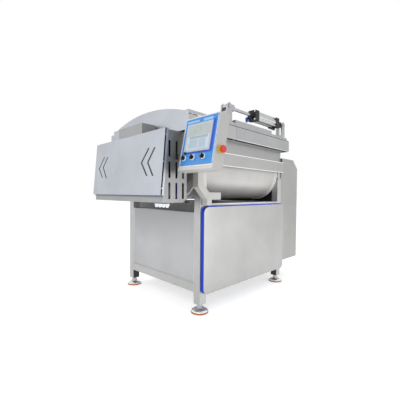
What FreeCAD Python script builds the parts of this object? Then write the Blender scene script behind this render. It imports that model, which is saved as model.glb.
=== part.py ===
import FreeCAD, Part
import math
import os

# Tilting twin-shaft vacuum meat mixer, millimetres.
# X runs along the trough, Y across it, Z up. Every piece is written with the
# near left corner of the base frame as zero and moved on export, so that the
# row's own origin is the middle of the whole machine on the floor.

# Base frame of square tube
BASE_LENGTH = 1070.0
BASE_WIDTH = 900.0
POST = 60.0
TUBE_WALL = 3.0
LEG_END = 60.0
BOTTOM_RAIL = 137.0
TOP_RAIL = 693.0
POST_RISE = 202.0
SIDE_RAIL_DROP = 43.0
SIDE_RAIL_SIZE = 40.0
SHEET = 3.0
PANEL_RECESS = 8.0

# Levelling feet
PAD_DIAMETER = 122.0
PAD_HEIGHT = 12.0
CUP_DIAMETER = 92.0
CUP_HEIGHT = 22.0
STUD_DIAMETER = 24.0
NUT_HEIGHT = 14.0

# Pan shaped service cover with a rubber edge behind its lip
COVER_MARGIN = 8.0
COVER_BELOW = 2.0
COVER_ABOVE = 23.0
COVER_DEPTH = 31.0
COVER_LIP = 3.0
COVER_CORNER = 40.0
EDGE_SEAL = 6.0

# Double trough: two lobes that fill the width of the base
TROUGH_INSET = 10.0
LOBE_OVERLAP = 20.0
SHELL_WALL = 5.0
SHAFT_RISE = 50.0
END_PLATE = 8.0
END_FLANGE = 1.5
END_GAP = 2.0
RIM_RISE = 16.0
RIM_HEIGHT = 99.0
RIM_WALL = 4.0
RIM_PLATE = 6.0
RIM_END = 18.0
RIM_SIDE = 12.0
COLLAR_HEIGHT = 106.0
COLLAR_WALL = 5.0
COLLAR_INSET = 8.0
COLLAR_LIP = 14.0
CROSS_BAR_WIDTH = 66.0
CROSS_BAR_HEIGHT = 10.0
GASKET = 8.0

# Hood that stays and lid that opens
SKIRT_OVERLAP = 4.0
SKIRT_HEIGHT = 96.0
DECK_RISE = 35.0
COVER_SHEET = 4.0
SKIRT_REACH_NEAR = 28.0
SKIRT_REACH_FAR = 48.0
DECK_INSET = 20.0
HOOD_REACH = 132.0
HOOD_STEP = 15.0
SPLIT = 332.0
SPLIT_GAP = 2.0
LID_REACH = 50.0
LID_STEP = 7.0
VAULT_RISE = 66.0
VAULT_INSET = 20.0
VAULT_SETBACK = 147.0
LID_RAIL_HEIGHT = 24.0
LID_RAIL_WIDTH = 48.0
LID_RAIL_LENGTH = 515.0
LID_RIB = 36.0
LID_RIB_COUNT = 4
LID_RIB_FIRST = 120.0
LID_RIB_LAST = 110.0
LID_RIB_END = 150.0
LID_RIB_SPREAD = 170.0

# Lid hinges
HINGE_LIFT = 21.0
HINGE_PIN = 7.0
KNUCKLE = 13.0
HINGE_LENGTH = 96.0
HINGE_INSET = 96.0
HINGE_LEAF = 6.0
HINGE_LEAF_WIDTH = 62.0

# Pneumatic cylinder over the near edge
CYLINDER_INSET = 54.0
EYE_BACK = 56.0
AXIS_LIFT = 113.0
LUG_INSET = 72.0
PIN_RADIUS = 10.0
EYE_WIDTH = 39.4
EYE_LENGTH = 73.0
EAR = 12.0
EAR_GAP = 0.3
EAR_HEAD = 26.0
BRACKET_HALF = 31.0
ROD_RADIUS = 12.5
ROD_NUT = 6.0
EYE_BLOCK = 44.0
CAP_SIZE = 86.0
CAP_LENGTH = 50.0
CYLINDER_LENGTH = 373.0
TAIL_LENGTH = 93.0
PISTON_BACK = 138.0
PISTON = 24.0
BARREL_OUT = 39.0
BARREL_WALL = 4.0
TIE_ROD = 5.0

# Tilt pivot on the far posts
TRUNNION_RADIUS = 17.5
PIVOT_LIFT = 34.0
BLOCK_WIDTH = 50.0
BLOCK_HEAD = 26.0
REST_PAD = 20.0
RUNNING = 0.05
SEAT = 0.3

# Drive box and its slanted cover
BOX_RIGHT = -125.0
BOX_DROP = 242.0
BOX_RISE = 200.0
COVER_LOW_X = -337.0
COVER_LEAN = 34.0
COVER_LOW_RISE = 45.0
COVER_HIGH_RISE = 6.0
COVER_PAN = 12.0
COVER_OVERLAP = 5.0
BOX_FOOT_STEP = 21.0
BOX_SHEET = 3.0
HUMP_BACK = 34.0
HUMP_DEPTH = 111.0
HUMP_LENGTH = 312.0
HUMP_HEIGHT = 91.0
SLOT_WIDTH = 16.0
SLOT_HEIGHT = 102.0
SLOT_BACKS = (141.0, 86.0, 32.0)
SLOT_RISES = (22.0, 149.0, 277.0)
LOBE_PLATE = 12.0
LOBE_PLATE_GAP = 6.0
STANDOFF = 40.0
STANDOFF_SPREAD = 110.0
STANDOFF_DROP = 120.0
STANDOFF_RISE = 40.0

# Mixing shafts and paddles
SHAFT_RADIUS = 30.0
PADDLE_GAP = 14.0
PADDLE_DEPTH = 56.0
PADDLE_WIDTH = 104.0
PADDLE_THICKNESS = 12.0
PADDLE_TWIST = 32.0
PADDLE_ARM = 13.0
PADDLE_COUNT = 8
PADDLE_MARGIN = 66.0
SEAT_BORE = 58.0

# Chain drive
PITCH = 19.05
SHAFT_TEETH = 24
MOTOR_TEETH = 12
SPROCKET_BACK = 22.0
SPROCKET_WIDTH = 10.0
LINK_PLATE = 3.0
STUB_RADIUS = 14.0
MOTOR_RADIUS = 66.0
MOTOR_LENGTH = 222.0
MOTOR_BACK = 100.0
MOTOR_DROP = 163.0
MOTOR_NEAR = 40.0
GEARBOX_WIDTH = 76.0
GEARBOX_HALF = 60.0
TERMINAL_DROP = 8.0
TERMINAL_HALF = 36.0
TERMINAL_START = 12.0
TERMINAL_LENGTH = 153.0
GLAND_PITCH = 38.0
GLAND_NUT = 15.0
GLAND_NUT_HEIGHT = 8.0
GLAND_BODY = 11.5
GLAND_HEIGHT = 10.0
GLAND_NOSE = 8.0

# Cabinet at the right end, its door on lift off hinges
CABINET_GAP = 28.0
CABINET_WIDTH = 300.0
CABINET_RAISE = 53.0
CABINET_ABOVE = 206.0
CABINET_BEHIND = 40.0
CABINET_CHAMFER_X = 90.0
CABINET_CHAMFER_Z = 82.0
CABINET_SHEET = 3.0
DOOR_MARGIN = 40.0
DOOR_BELOW = 30.0
DOOR_ABOVE = 25.0
DOOR_LAP = 20.0
DOOR_BARREL = 7.0
DOOR_PIN = 3.0
DOOR_KNUCKLE = 30.0
DOOR_LEAF = 25.0
DOOR_AXIS_OUT = 4.5
DOOR_AXIS_GAP = 7.0
DOOR_HINGE_SHARES = (0.12, 0.5, 0.88)
TILT_BOX = 110.0

# Console on its arm
CONSOLE_FAR = -52.0
CONSOLE_WIDTH = 276.0
CONSOLE_WALL = 2.5
FACE_LOW_X = -238.0
FACE_LEAN = 60.0
FACE_RISE = 23.0
FACE_HEIGHT = 287.0
FACE_RIM = 4.0
CONSOLE_DEPTH = 83.0
CONSOLE_CHIN = 34.0
FACE_PLATE = 3.0
SCREEN_LOW = 83.0
SCREEN_HIGH = 254.0
SCREEN_INSET_FAR = 30.0
SCREEN_INSET_NEAR = 40.0
SCREEN_BEZEL = 6.0
SCREEN_BAND = 14.0
KNOB_UP = 50.0
KNOB_INSETS = (36.0, 109.0, 193.0)
KNOB_RADIUS = 13.0
KNOB_HEIGHT = 22.0
KNOB_STEM = 7.0
ESTOP_BACK = 64.0
ESTOP_UP = 84.0
ESTOP_RING = 5.0
ESTOP_HEAD = 21.0
ESTOP_STEM = 9.0
ESTOP_PRESS = 6.0
ESTOP_CONE = 5.0
ESTOP_CAP = 9.0
ARM = 50.0
ARM_X = -72.0
ARM_RISE = 134.0
ARM_CLEAR = 27.0
ARM_TURN = 85.0
ARM_END = 152.0
ARM_HEAD = 70.0
ARM_BEAM = 40.0

# Vacuum port and pump
PORT_RADIUS = 20.0
PORT_WALL = 3.0
PORT_X = 60.0
PORT_OFFSET = 250.0
PORT_RISE = 70.0
PUMP_X = 250.0
PUMP_Y = 260.0
PUMP_LENGTH = 260.0
PUMP_WIDTH = 240.0
PUMP_HEIGHT = 250.0
PUMP_FOOT = 40.0
PUMP_WALL = 12.0
PUMP_FIN = 12.0
PUMP_FIN_COUNT = 8
PUMP_MOTOR_RADIUS = 95.0
PUMP_MOTOR_CORE = 70.0
PUMP_MOTOR_LENGTH = 300.0
PUMP_INLET = 50.0

# Worked out places
V = FreeCAD.Vector
MID_Y = BASE_WIDTH / 2
POST_TOP = TOP_RAIL + POST + POST_RISE
SIDE_RAIL = TOP_RAIL - SIDE_RAIL_DROP
COVER_BOTTOM = BOTTOM_RAIL - COVER_BELOW
COVER_TOP = TOP_RAIL + POST - COVER_ABOVE
SEAL_DEPTH = COVER_DEPTH - COVER_LIP
LOBE_RADIUS = (BASE_WIDTH - 2 * TROUGH_INSET + LOBE_OVERLAP) / 4
NEAR_SHAFT = TROUGH_INSET + LOBE_RADIUS
FAR_SHAFT = BASE_WIDTH - TROUGH_INSET - LOBE_RADIUS
SHAFTS = (NEAR_SHAFT, FAR_SHAFT)
SHAFT_HEIGHT = POST_TOP + SHAFT_RISE
PIVOT_Y = BASE_WIDTH - POST / 2
PIVOT_Z = POST_TOP + PIVOT_LIFT
TROUGH_LEFT = POST + END_GAP
TROUGH_RIGHT = BASE_LENGTH - POST - END_GAP
TROUGH_NEAR = NEAR_SHAFT - LOBE_RADIUS
TROUGH_FAR = FAR_SHAFT + LOBE_RADIUS
RIM_LEFT = -RIM_END
RIM_RIGHT = BASE_LENGTH + RIM_END
RIM_NEAR = -RIM_SIDE
RIM_FAR = BASE_WIDTH + RIM_SIDE
RIM_BOTTOM = SHAFT_HEIGHT + RIM_RISE
RIM_TOP = RIM_BOTTOM + RIM_HEIGHT
COLLAR_LEFT = RIM_LEFT + COLLAR_INSET
COLLAR_RIGHT = RIM_RIGHT - COLLAR_INSET
COLLAR_NEAR = TROUGH_NEAR + SHELL_WALL
COLLAR_FAR = TROUGH_FAR - SHELL_WALL
COLLAR_TOP = RIM_TOP + COLLAR_HEIGHT
SEAL_TOP = COLLAR_TOP + GASKET
SKIRT_BOTTOM = COLLAR_TOP - SKIRT_OVERLAP
SKIRT_TOP = SKIRT_BOTTOM + SKIRT_HEIGHT
SKIRT_NEAR = RIM_NEAR - SKIRT_REACH_NEAR
SKIRT_FAR = RIM_FAR + SKIRT_REACH_FAR
DECK_TOP = SKIRT_TOP + DECK_RISE
HOOD_LEFT = RIM_LEFT - HOOD_REACH
LID_RIGHT = RIM_RIGHT + LID_REACH
VAULT_NEAR = VAULT_INSET
VAULT_FAR = BASE_WIDTH - VAULT_INSET
VAULT_RIGHT = SPLIT - VAULT_SETBACK
HINGE_Z = DECK_TOP + HINGE_LIFT
CYLINDER_Y = SKIRT_NEAR + CYLINDER_INSET
AXIS_Z = DECK_TOP + AXIS_LIFT
EYE_X = SPLIT - EYE_BACK
LUG_X = LID_RIGHT - LUG_INSET
CAP_REAR_X = LUG_X - TAIL_LENGTH
CAP_FRONT_X = CAP_REAR_X - CYLINDER_LENGTH
BOX_BOTTOM = SHAFT_HEIGHT - BOX_DROP
BOX_TOP = SHAFT_HEIGHT + BOX_RISE
BOX_FOOT = COVER_LOW_X + BOX_FOOT_STEP
COVER_LOW_Z = BOX_BOTTOM + COVER_LOW_RISE
COVER_HIGH_X = COVER_LOW_X + COVER_LEAN
COVER_HIGH_Z = BOX_TOP + COVER_HIGH_RISE
PADDLE_REACH = LOBE_RADIUS - SHELL_WALL - PADDLE_GAP
PADDLE_ROOT = PADDLE_REACH - PADDLE_DEPTH
SPROCKET_X = BOX_RIGHT - SPROCKET_BACK
MOTOR_X = BOX_RIGHT - MOTOR_BACK
MOTOR_Z = SHAFT_HEIGHT - MOTOR_DROP
CABINET_LEFT = BASE_LENGTH + CABINET_GAP
CABINET_RIGHT = CABINET_LEFT + CABINET_WIDTH
CABINET_BOTTOM = BOTTOM_RAIL + CABINET_RAISE
CABINET_TOP = POST_TOP + CABINET_ABOVE
CABINET_FAR = BASE_WIDTH + CABINET_BEHIND
DOOR_AXIS_X = CABINET_RIGHT + DOOR_AXIS_OUT
DOOR_AXIS_Y = CABINET_FAR - DOOR_MARGIN + DOOR_AXIS_GAP
CONSOLE_NEAR = CONSOLE_FAR - CONSOLE_WIDTH
FACE_HIGH_X = FACE_LOW_X + FACE_LEAN
FACE_LOW_Z = POST_TOP + FACE_RISE
FACE_HIGH_Z = FACE_LOW_Z + FACE_HEIGHT
SCREEN_FAR = CONSOLE_FAR - SCREEN_INSET_FAR
SCREEN_NEAR = CONSOLE_NEAR + SCREEN_INSET_NEAR
ESTOP_X = FACE_LOW_X + ESTOP_BACK
ESTOP_Z = FACE_LOW_Z + ESTOP_UP
ESTOP_FACE = CONSOLE_NEAR - ESTOP_RING
ESTOP_NECK = ESTOP_FACE - ESTOP_PRESS - SEAT
ARM_TOP = FACE_LOW_Z + ARM_RISE
ARM_LOW = TOP_RAIL + POST + ARM_CLEAR
ARM_BEND = ARM_LOW + ARM_TURN
PORT_Y = MID_Y + PORT_OFFSET
X_LOW = COVER_LOW_X
X_HIGH = DOOR_AXIS_X + DOOR_BARREL
Y_LOW = ESTOP_NECK - ESTOP_CONE - ESTOP_CAP
Y_HIGH = SKIRT_FAR
ORIGIN = V(-(X_LOW + X_HIGH) / 2, -(Y_LOW + Y_HIGH) / 2, 0)

os.makedirs("parts", exist_ok=True)


def block(x0, x1, y0, y1, z0, z1):
    """Box between two corners."""
    return Part.makeBox(x1 - x0, y1 - y0, z1 - z0, V(x0, y0, z0))


def rod(radius, start, end):
    """Round bar from one point to another."""
    run = V(*end) - V(*start)
    return Part.makeCylinder(radius, run.Length, V(*start), run)


def ring(outer, inner, start, end):
    """Round tube from one point to another."""
    return rod(outer, start, end).cut(rod(inner, start, end))


def fuse(first, *others):
    """One solid from touching pieces."""
    shape = first.fuse(list(others)) if others else first
    return shape.removeSplitter()


def hollow_tube(x0, x1, y0, y1, z0, z1, along):
    """Square tube with open ends along one axis."""
    wall = TUBE_WALL
    inner = {
        "x": (x0, x1, y0 + wall, y1 - wall, z0 + wall, z1 - wall),
        "y": (x0 + wall, x1 - wall, y0, y1, z0 + wall, z1 - wall),
        "z": (x0 + wall, x1 - wall, y0 + wall, y1 - wall, z0, z1),
    }[along]
    return block(x0, x1, y0, y1, z0, z1).cut(block(*inner))


def prism(points, run, axis="y", start=0.0):
    """Closed outline pushed along an axis; points are the other two coordinates in order."""
    place = {
        "x": lambda a, b: V(start, a, b),
        "y": lambda a, b: V(a, start, b),
        "z": lambda a, b: V(a, b, start),
    }[axis]
    push = {"x": V(run, 0, 0), "y": V(0, run, 0), "z": V(0, 0, run)}[axis]
    corners = [place(a, b) for a, b in points]
    wire = Part.makePolygon(corners + corners[:1])
    return Part.Face(wire).extrude(push)


def rounded_slab(x0, x1, z0, z1, corner, y0, y1):
    """Upright plate across Y with round corners in its XZ outline."""
    plate = block(x0, x1, y0, y1, z0, z1)
    edges = [e for e in plate.Edges if abs(e.Length - (y1 - y0)) < 1e-6
             and abs(e.tangentAt(e.FirstParameter).y) > 0.99]
    return plate.makeFillet(corner, edges)


def save(name, *solids):
    """Write one node, moved to the row's own origin."""
    shape = solids[0] if len(solids) == 1 else Part.makeCompound(list(solids))
    moved = shape.copy()
    moved.translate(ORIGIN)
    moved.exportStep("parts/%s.step" % name)


def make_frame():
    """Four posts, two rings of rails and the sheet floor."""
    low, high = 0.0, POST
    for side, x0 in (("left", 0.0), ("right", BASE_LENGTH - POST)):
        for row, y0 in (("near", 0.0), ("far", BASE_WIDTH - POST)):
            post = hollow_tube(x0, x0 + POST, y0, y0 + POST, LEG_END, POST_TOP, "z")
            foot = block(x0, x0 + POST, y0, y0 + POST, LEG_END, LEG_END + 2 * TUBE_WALL)
            head = block(x0, x0 + POST, y0, y0 + POST, POST_TOP - 2 * TUBE_WALL, POST_TOP)
            hole = rod(STUD_DIAMETER / 2 + SEAT, (x0 + POST / 2, y0 + POST / 2, LEG_END - 1),
                       (x0 + POST / 2, y0 + POST / 2, LEG_END + 2 * TUBE_WALL + 1))
            save("post_%s_%s" % (row, side), fuse(post, foot, head).cut(hole))
    right, far = BASE_LENGTH - POST, BASE_WIDTH - POST
    left = PANEL_RECESS + SHEET
    rails = [hollow_tube(low, high, POST, far, BOTTOM_RAIL, BOTTOM_RAIL + POST, "y"),
             hollow_tube(left, left + SIDE_RAIL_SIZE, POST, far,
                         SIDE_RAIL, SIDE_RAIL + SIDE_RAIL_SIZE, "y")]
    for z0 in (BOTTOM_RAIL, TOP_RAIL):
        rails.extend(hollow_tube(POST, right, y0, y0 + POST, z0, z0 + POST, "x") for y0 in (0.0, far))
        rails.append(hollow_tube(right, BASE_LENGTH, POST, far, z0, z0 + POST, "y"))
    save("frame_rails", *rails)
    floor = BOTTOM_RAIL + POST
    save("floor_tray", block(POST, right, 2 * PANEL_RECESS, BASE_WIDTH - 2 * PANEL_RECESS,
                             floor, floor + SHEET))


def make_panels():
    """Recessed side sheets, and the pan shaped service cover in its rubber edge."""
    floor = BOTTOM_RAIL + POST
    save("left_panel", block(PANEL_RECESS, PANEL_RECESS + SHEET, POST, BASE_WIDTH - POST,
                             floor, SIDE_RAIL + SIDE_RAIL_SIZE))
    far_face = BASE_WIDTH - PANEL_RECESS
    save("far_panel", block(POST, BASE_LENGTH - POST, far_face - SHEET, far_face,
                            floor + SHEET, TOP_RAIL))
    x0, x1 = COVER_MARGIN, BASE_LENGTH - COVER_MARGIN
    low, high = COVER_BOTTOM, COVER_TOP
    edge, corner = EDGE_SEAL, COVER_CORNER
    outer = rounded_slab(x0, x1, low, high, corner, -SEAL_DEPTH, 0)
    core = rounded_slab(x0 + edge, x1 - edge, low + edge, high - edge, corner - edge, -SEAL_DEPTH, 0)
    save("service_cover_seal", outer.cut(core))
    lip = rounded_slab(x0, x1, low, high, corner, -COVER_DEPTH, -SEAL_DEPTH)
    rim = [e for e in lip.Edges if abs(e.BoundBox.YMax + COVER_DEPTH) < 1e-3]
    skin = edge + SHEET
    hollow = rounded_slab(x0 + skin, x1 - skin, low + skin, high - skin, corner - skin,
                          -COVER_DEPTH + SHEET, 0)
    save("service_cover", fuse(lip.makeFillet(SHEET / 2, rim), core).cut(hollow))


def make_feet():
    """Rubber pad, steel cup and threaded stud with its nut under each post."""
    pads, cups = [], []
    nut_low = LEG_END - NUT_HEIGHT
    for x in (POST / 2, BASE_LENGTH - POST / 2):
        for y in (POST / 2, BASE_WIDTH - POST / 2):
            pad = rod(PAD_DIAMETER / 2, (x, y, 0), (x, y, PAD_HEIGHT))
            pads.append(pad.makeChamfer(PAD_HEIGHT / 4, [pad.Edges[0]]))
            stud, collar = STUD_DIAMETER / 2, STUD_DIAMETER * 0.8
            top = PAD_HEIGHT + CUP_HEIGHT
            outline = [(0, PAD_HEIGHT), (CUP_DIAMETER / 2, PAD_HEIGHT),
                       (CUP_DIAMETER / 2, PAD_HEIGHT + CUP_HEIGHT / 4), (collar, top),
                       (collar, nut_low), (collar, LEG_END), (stud, LEG_END),
                       (stud, LEG_END + POST / 2), (0, LEG_END + POST / 2)]
            wire = Part.makePolygon([V(x + a, y, b) for a, b in outline + outline[:1]])
            cups.append(Part.Face(wire).revolve(V(x, y, 0), V(0, 0, 1), 360))
    save("foot_pads", *pads)
    save("foot_cups", *cups)


def lobes(radius, x0, x1, top):
    """Solid of the double trough outline: two round lobes under a straight top."""
    near, far = NEAR_SHAFT - radius, FAR_SHAFT + radius
    body = block(x0, x1, near, far, SHAFT_HEIGHT, top)
    below = block(x0, x1, near, far, SHAFT_HEIGHT - radius, SHAFT_HEIGHT)
    pieces = [rod(radius, (x0, y, SHAFT_HEIGHT), (x1, y, SHAFT_HEIGHT)).common(below)
              for y in SHAFTS]
    return fuse(body, *pieces)


def make_trough():
    """Double trough shell, end plates, rim channel, collar and its gasket."""
    left, right = TROUGH_LEFT, TROUGH_RIGHT
    shell_left, shell_right = left + END_PLATE, right - END_PLATE
    top = RIM_TOP - RIM_PLATE
    inner = lobes(LOBE_RADIUS - SHELL_WALL, shell_left, shell_right, top)
    save("trough_shell", lobes(LOBE_RADIUS, shell_left, shell_right, top).cut(inner))
    for name, x0 in (("left", left), ("right", shell_right)):
        plate = lobes(LOBE_RADIUS + END_FLANGE, x0, x0 + END_PLATE, top)
        for y in SHAFTS:
            hole = SHAFT_RADIUS + 1.0
            plate = plate.cut(rod(hole, (x0 - 1, y, SHAFT_HEIGHT),
                                  (x0 + END_PLATE + 1, y, SHAFT_HEIGHT)))
        save("end_plate_%s" % name, plate)

    mouth = (shell_left, shell_right, TROUGH_NEAR + SHELL_WALL, TROUGH_FAR - SHELL_WALL)
    outside = block(RIM_LEFT, RIM_RIGHT, RIM_NEAR, RIM_FAR, RIM_BOTTOM, RIM_TOP)
    channel = block(RIM_LEFT + RIM_WALL, RIM_RIGHT - RIM_WALL, RIM_NEAR + RIM_WALL,
                    RIM_FAR - RIM_WALL, RIM_BOTTOM, top)
    rim = outside.cut(channel).cut(block(*mouth, top, RIM_TOP))
    for y in SHAFTS:
        rim = rim.cut(rod(SHAFT_RADIUS + 1, (RIM_LEFT - 1, y, SHAFT_HEIGHT),
                          (RIM_LEFT + RIM_WALL + 1, y, SHAFT_HEIGHT)))
    save("rim_channel", rim)

    wall = COLLAR_WALL
    x0, x1, y0, y1 = COLLAR_LEFT, COLLAR_RIGHT, COLLAR_NEAR, COLLAR_FAR
    lip = COLLAR_LIP
    ring_wall = block(x0, x1, y0, y1, RIM_TOP, COLLAR_TOP)
    lip_ring = block(x0 - lip, x1 + lip, y0 - lip, y1 + lip, COLLAR_TOP - wall, COLLAR_TOP)
    bar_x0 = SPLIT - CROSS_BAR_WIDTH / 2
    inside = block(x0 + wall, x1 - wall, y0 + wall, y1 - wall, RIM_TOP, COLLAR_TOP)
    bar = block(bar_x0, bar_x0 + CROSS_BAR_WIDTH, y0 + wall, y1 - wall,
                COLLAR_TOP - CROSS_BAR_HEIGHT, COLLAR_TOP)
    save("collar", fuse(fuse(ring_wall, lip_ring).cut(inside), bar))

    pad = block(x0 - lip, x1 + lip, y0 - lip, y1 + lip, COLLAR_TOP, SEAL_TOP)
    bays = [block(x0 + wall, bar_x0, y0 + wall, y1 - wall, COLLAR_TOP, SEAL_TOP),
            block(bar_x0 + CROSS_BAR_WIDTH, x1 - wall, y0 + wall, y1 - wall,
                  COLLAR_TOP, SEAL_TOP)]
    save("collar_gasket", pad.cut(bays))


def capped_tray(x0, x1, left_step, right_step):
    """Skirt with an inset deck above it, open below, with an inner ledge for the gasket."""
    skin = COVER_SHEET
    near, far = SKIRT_NEAR, SKIRT_FAR
    deck = (x0 + left_step, x1 - right_step, near + DECK_INSET, far - DECK_INSET)
    skirt = block(x0, x1, near, far, SKIRT_BOTTOM, SKIRT_TOP)
    upper = block(*deck, SKIRT_TOP, DECK_TOP)
    skirt_in = block(x0 + skin, x1 - skin, near + skin, far - skin,
                     SKIRT_BOTTOM, SKIRT_TOP - skin)
    upper_in = block(deck[0] + skin, deck[1] - skin, deck[2] + skin, deck[3] - skin,
                     SKIRT_TOP - skin, DECK_TOP - skin)
    tray = fuse(skirt, upper).cut(fuse(skirt_in, upper_in))
    ledge = block(x0 + skin, x1 - skin, near + skin, far - skin, SEAL_TOP + SEAT,
                  SEAL_TOP + SEAT + skin)
    left = max(x0 + skin, COLLAR_LEFT) + CROSS_BAR_WIDTH / 2
    right = min(x1 - skin, COLLAR_RIGHT) - CROSS_BAR_WIDTH / 2
    opening = block(left, right, COLLAR_NEAR + COLLAR_WALL, COLLAR_FAR - COLLAR_WALL,
                    SEAL_TOP, SEAL_TOP + SEAT + skin)
    lip = COLLAR_LIP + 2.0
    over_bar = block(SPLIT - CROSS_BAR_WIDTH / 2, SPLIT + CROSS_BAR_WIDTH / 2,
                     COLLAR_NEAR - lip, COLLAR_FAR + lip, SKIRT_BOTTOM - 1, SEAL_TOP + SEAT)
    return fuse(tray, ledge.cut(opening)).cut(over_bar)


def hinge_knuckles(y0, count, first):
    """Alternate knuckles of one lid hinge along Y."""
    share = HINGE_LENGTH / 3
    bore = HINGE_PIN + RUNNING
    out = []
    for i in range(count):
        low = y0 + (first + 2 * i) * share + SEAT
        high = low + share - 2 * SEAT
        out.append(ring(KNUCKLE, bore, (SPLIT, low, HINGE_Z), (SPLIT, high, HINGE_Z)))
    return out


def hinge_starts():
    """Near ends of the two lid hinges."""
    deck_near, deck_far = SKIRT_NEAR + DECK_INSET, SKIRT_FAR - DECK_INSET
    return (deck_near + HINGE_INSET, deck_far - HINGE_INSET - HINGE_LENGTH)


def hinge_side(direction):
    """Leaves and knuckles of both hinges on one side of the split; -1 hood, 1 lid."""
    count, first = (2, 0) if direction < 0 else (1, 1)
    gap = SPLIT_GAP / 2
    inner, outer = SPLIT + direction * gap, SPLIT + direction * HINGE_LEAF_WIDTH
    x0, x1 = min(inner, outer), max(inner, outer)
    share = HINGE_LENGTH / 3
    out = []
    for y0 in hinge_starts():
        for i, knuckle in enumerate(hinge_knuckles(y0, count, first)):
            low = y0 + (first + 2 * i) * share + SEAT
            high = low + share - 2 * SEAT
            foot = SPLIT + direction * (KNUCKLE + 8)
            web = prism([(inner, DECK_TOP), (foot, DECK_TOP), (foot, DECK_TOP + HINGE_LEAF),
                         (SPLIT + direction * KNUCKLE * 0.9, HINGE_Z), (inner, HINGE_Z)],
                        high - low, "y", low)
            bore = rod(HINGE_PIN + RUNNING, (SPLIT, low, HINGE_Z), (SPLIT, high, HINGE_Z))
            leaf = block(x0, x1, low, high, DECK_TOP, DECK_TOP + HINGE_LEAF)
            out.append(fuse(knuckle, web, leaf).cut(bore))
    return out


def make_hood():
    """Fixed hood with a barrel vault, its vacuum port and the hinge pins."""
    x1 = SPLIT - SPLIT_GAP / 2
    tray = capped_tray(HOOD_LEFT, x1, HOOD_STEP, 0.0)
    half = (VAULT_FAR - VAULT_NEAR) / 2
    radius = (half * half + VAULT_RISE * VAULT_RISE) / (2 * VAULT_RISE)
    crest = DECK_TOP + VAULT_RISE
    left = HOOD_LEFT + HOOD_STEP

    def vault(shrink, x_from, x_to):
        drum = rod(radius - shrink, (x_from, MID_Y, crest - radius), (x_to, MID_Y, crest - radius))
        return drum.common(block(x_from, x_to, VAULT_NEAR, VAULT_FAR, DECK_TOP - COVER_SHEET, crest))

    skin = COVER_SHEET
    dome = vault(0.0, left, VAULT_RIGHT)
    room = vault(skin, left + skin, VAULT_RIGHT - skin)
    port_top = crest + PORT_RISE / 2
    pipe = rod(PORT_RADIUS + PORT_WALL, (PORT_X, PORT_Y, DECK_TOP), (PORT_X, PORT_Y, port_top))
    bore = rod(PORT_RADIUS + PORT_WALL, (PORT_X, PORT_Y, DECK_TOP - 2 * skin),
               (PORT_X, PORT_Y, port_top + 1))
    save("hood", fuse(fuse(tray, dome).cut(room), *hinge_side(-1)).cut(bore))
    flange = rod(PORT_RADIUS * 2, (PORT_X, PORT_Y, port_top - 8), (PORT_X, PORT_Y, port_top))
    inside = rod(PORT_RADIUS, (PORT_X, PORT_Y, DECK_TOP - 2), (PORT_X, PORT_Y, port_top + 1))
    save("vacuum_port", fuse(pipe, flange).cut(inside))


def hinge_pins():
    """Headed pins of the two lid hinges."""
    pins = []
    for y0 in hinge_starts():
        pin = rod(HINGE_PIN, (SPLIT, y0 - 4, HINGE_Z), (SPLIT, y0 + HINGE_LENGTH + 4, HINGE_Z))
        heads = [rod(HINGE_PIN + 3, (SPLIT, y - 4, HINGE_Z), (SPLIT, y, HINGE_Z))
                 for y in (y0, y0 + HINGE_LENGTH + 4)]
        pins.append(fuse(pin, *heads))
    return pins


def ear_plate(y0, head_x, left, right, base_z):
    """Upright ear across Y: wide foot, shoulders and a round head about a pin."""
    shoulder = AXIS_Z - EAR_HEAD * 1.6
    head_left, head_right = head_x - EAR_HEAD * 0.94, head_x + EAR_HEAD * 0.94
    foot = prism([(left, base_z), (right, base_z), (right, shoulder),
                  (max(head_right, head_x), AXIS_Z + EAR_HEAD * 0.34),
                  (head_left, AXIS_Z + EAR_HEAD * 0.34), (left, shoulder)], EAR, "y", y0)
    head = rod(EAR_HEAD, (head_x, y0, AXIS_Z), (head_x, y0 + EAR, AXIS_Z))
    return fuse(foot, head)


def pin_bore(x, radius):
    """Bore across the whole fork at one pin."""
    reach = EYE_WIDTH + 2 * EAR
    return rod(radius, (x, CYLINDER_Y - reach, AXIS_Z), (x, CYLINDER_Y + reach, AXIS_Z))


def fork(head_x, left, right):
    """Two ears on a base plate, bored for the pin."""
    inside = EYE_WIDTH / 2 + EAR_GAP
    near, far = CYLINDER_Y - inside - EAR, CYLINDER_Y + inside
    base = block(left, right, near, far + EAR, DECK_TOP, DECK_TOP + EAR)
    ears = [ear_plate(y0, head_x, left, right, DECK_TOP) for y0 in (near, far)]
    return fuse(base, *ears).cut(pin_bore(head_x, PIN_RADIUS + RUNNING))


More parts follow.
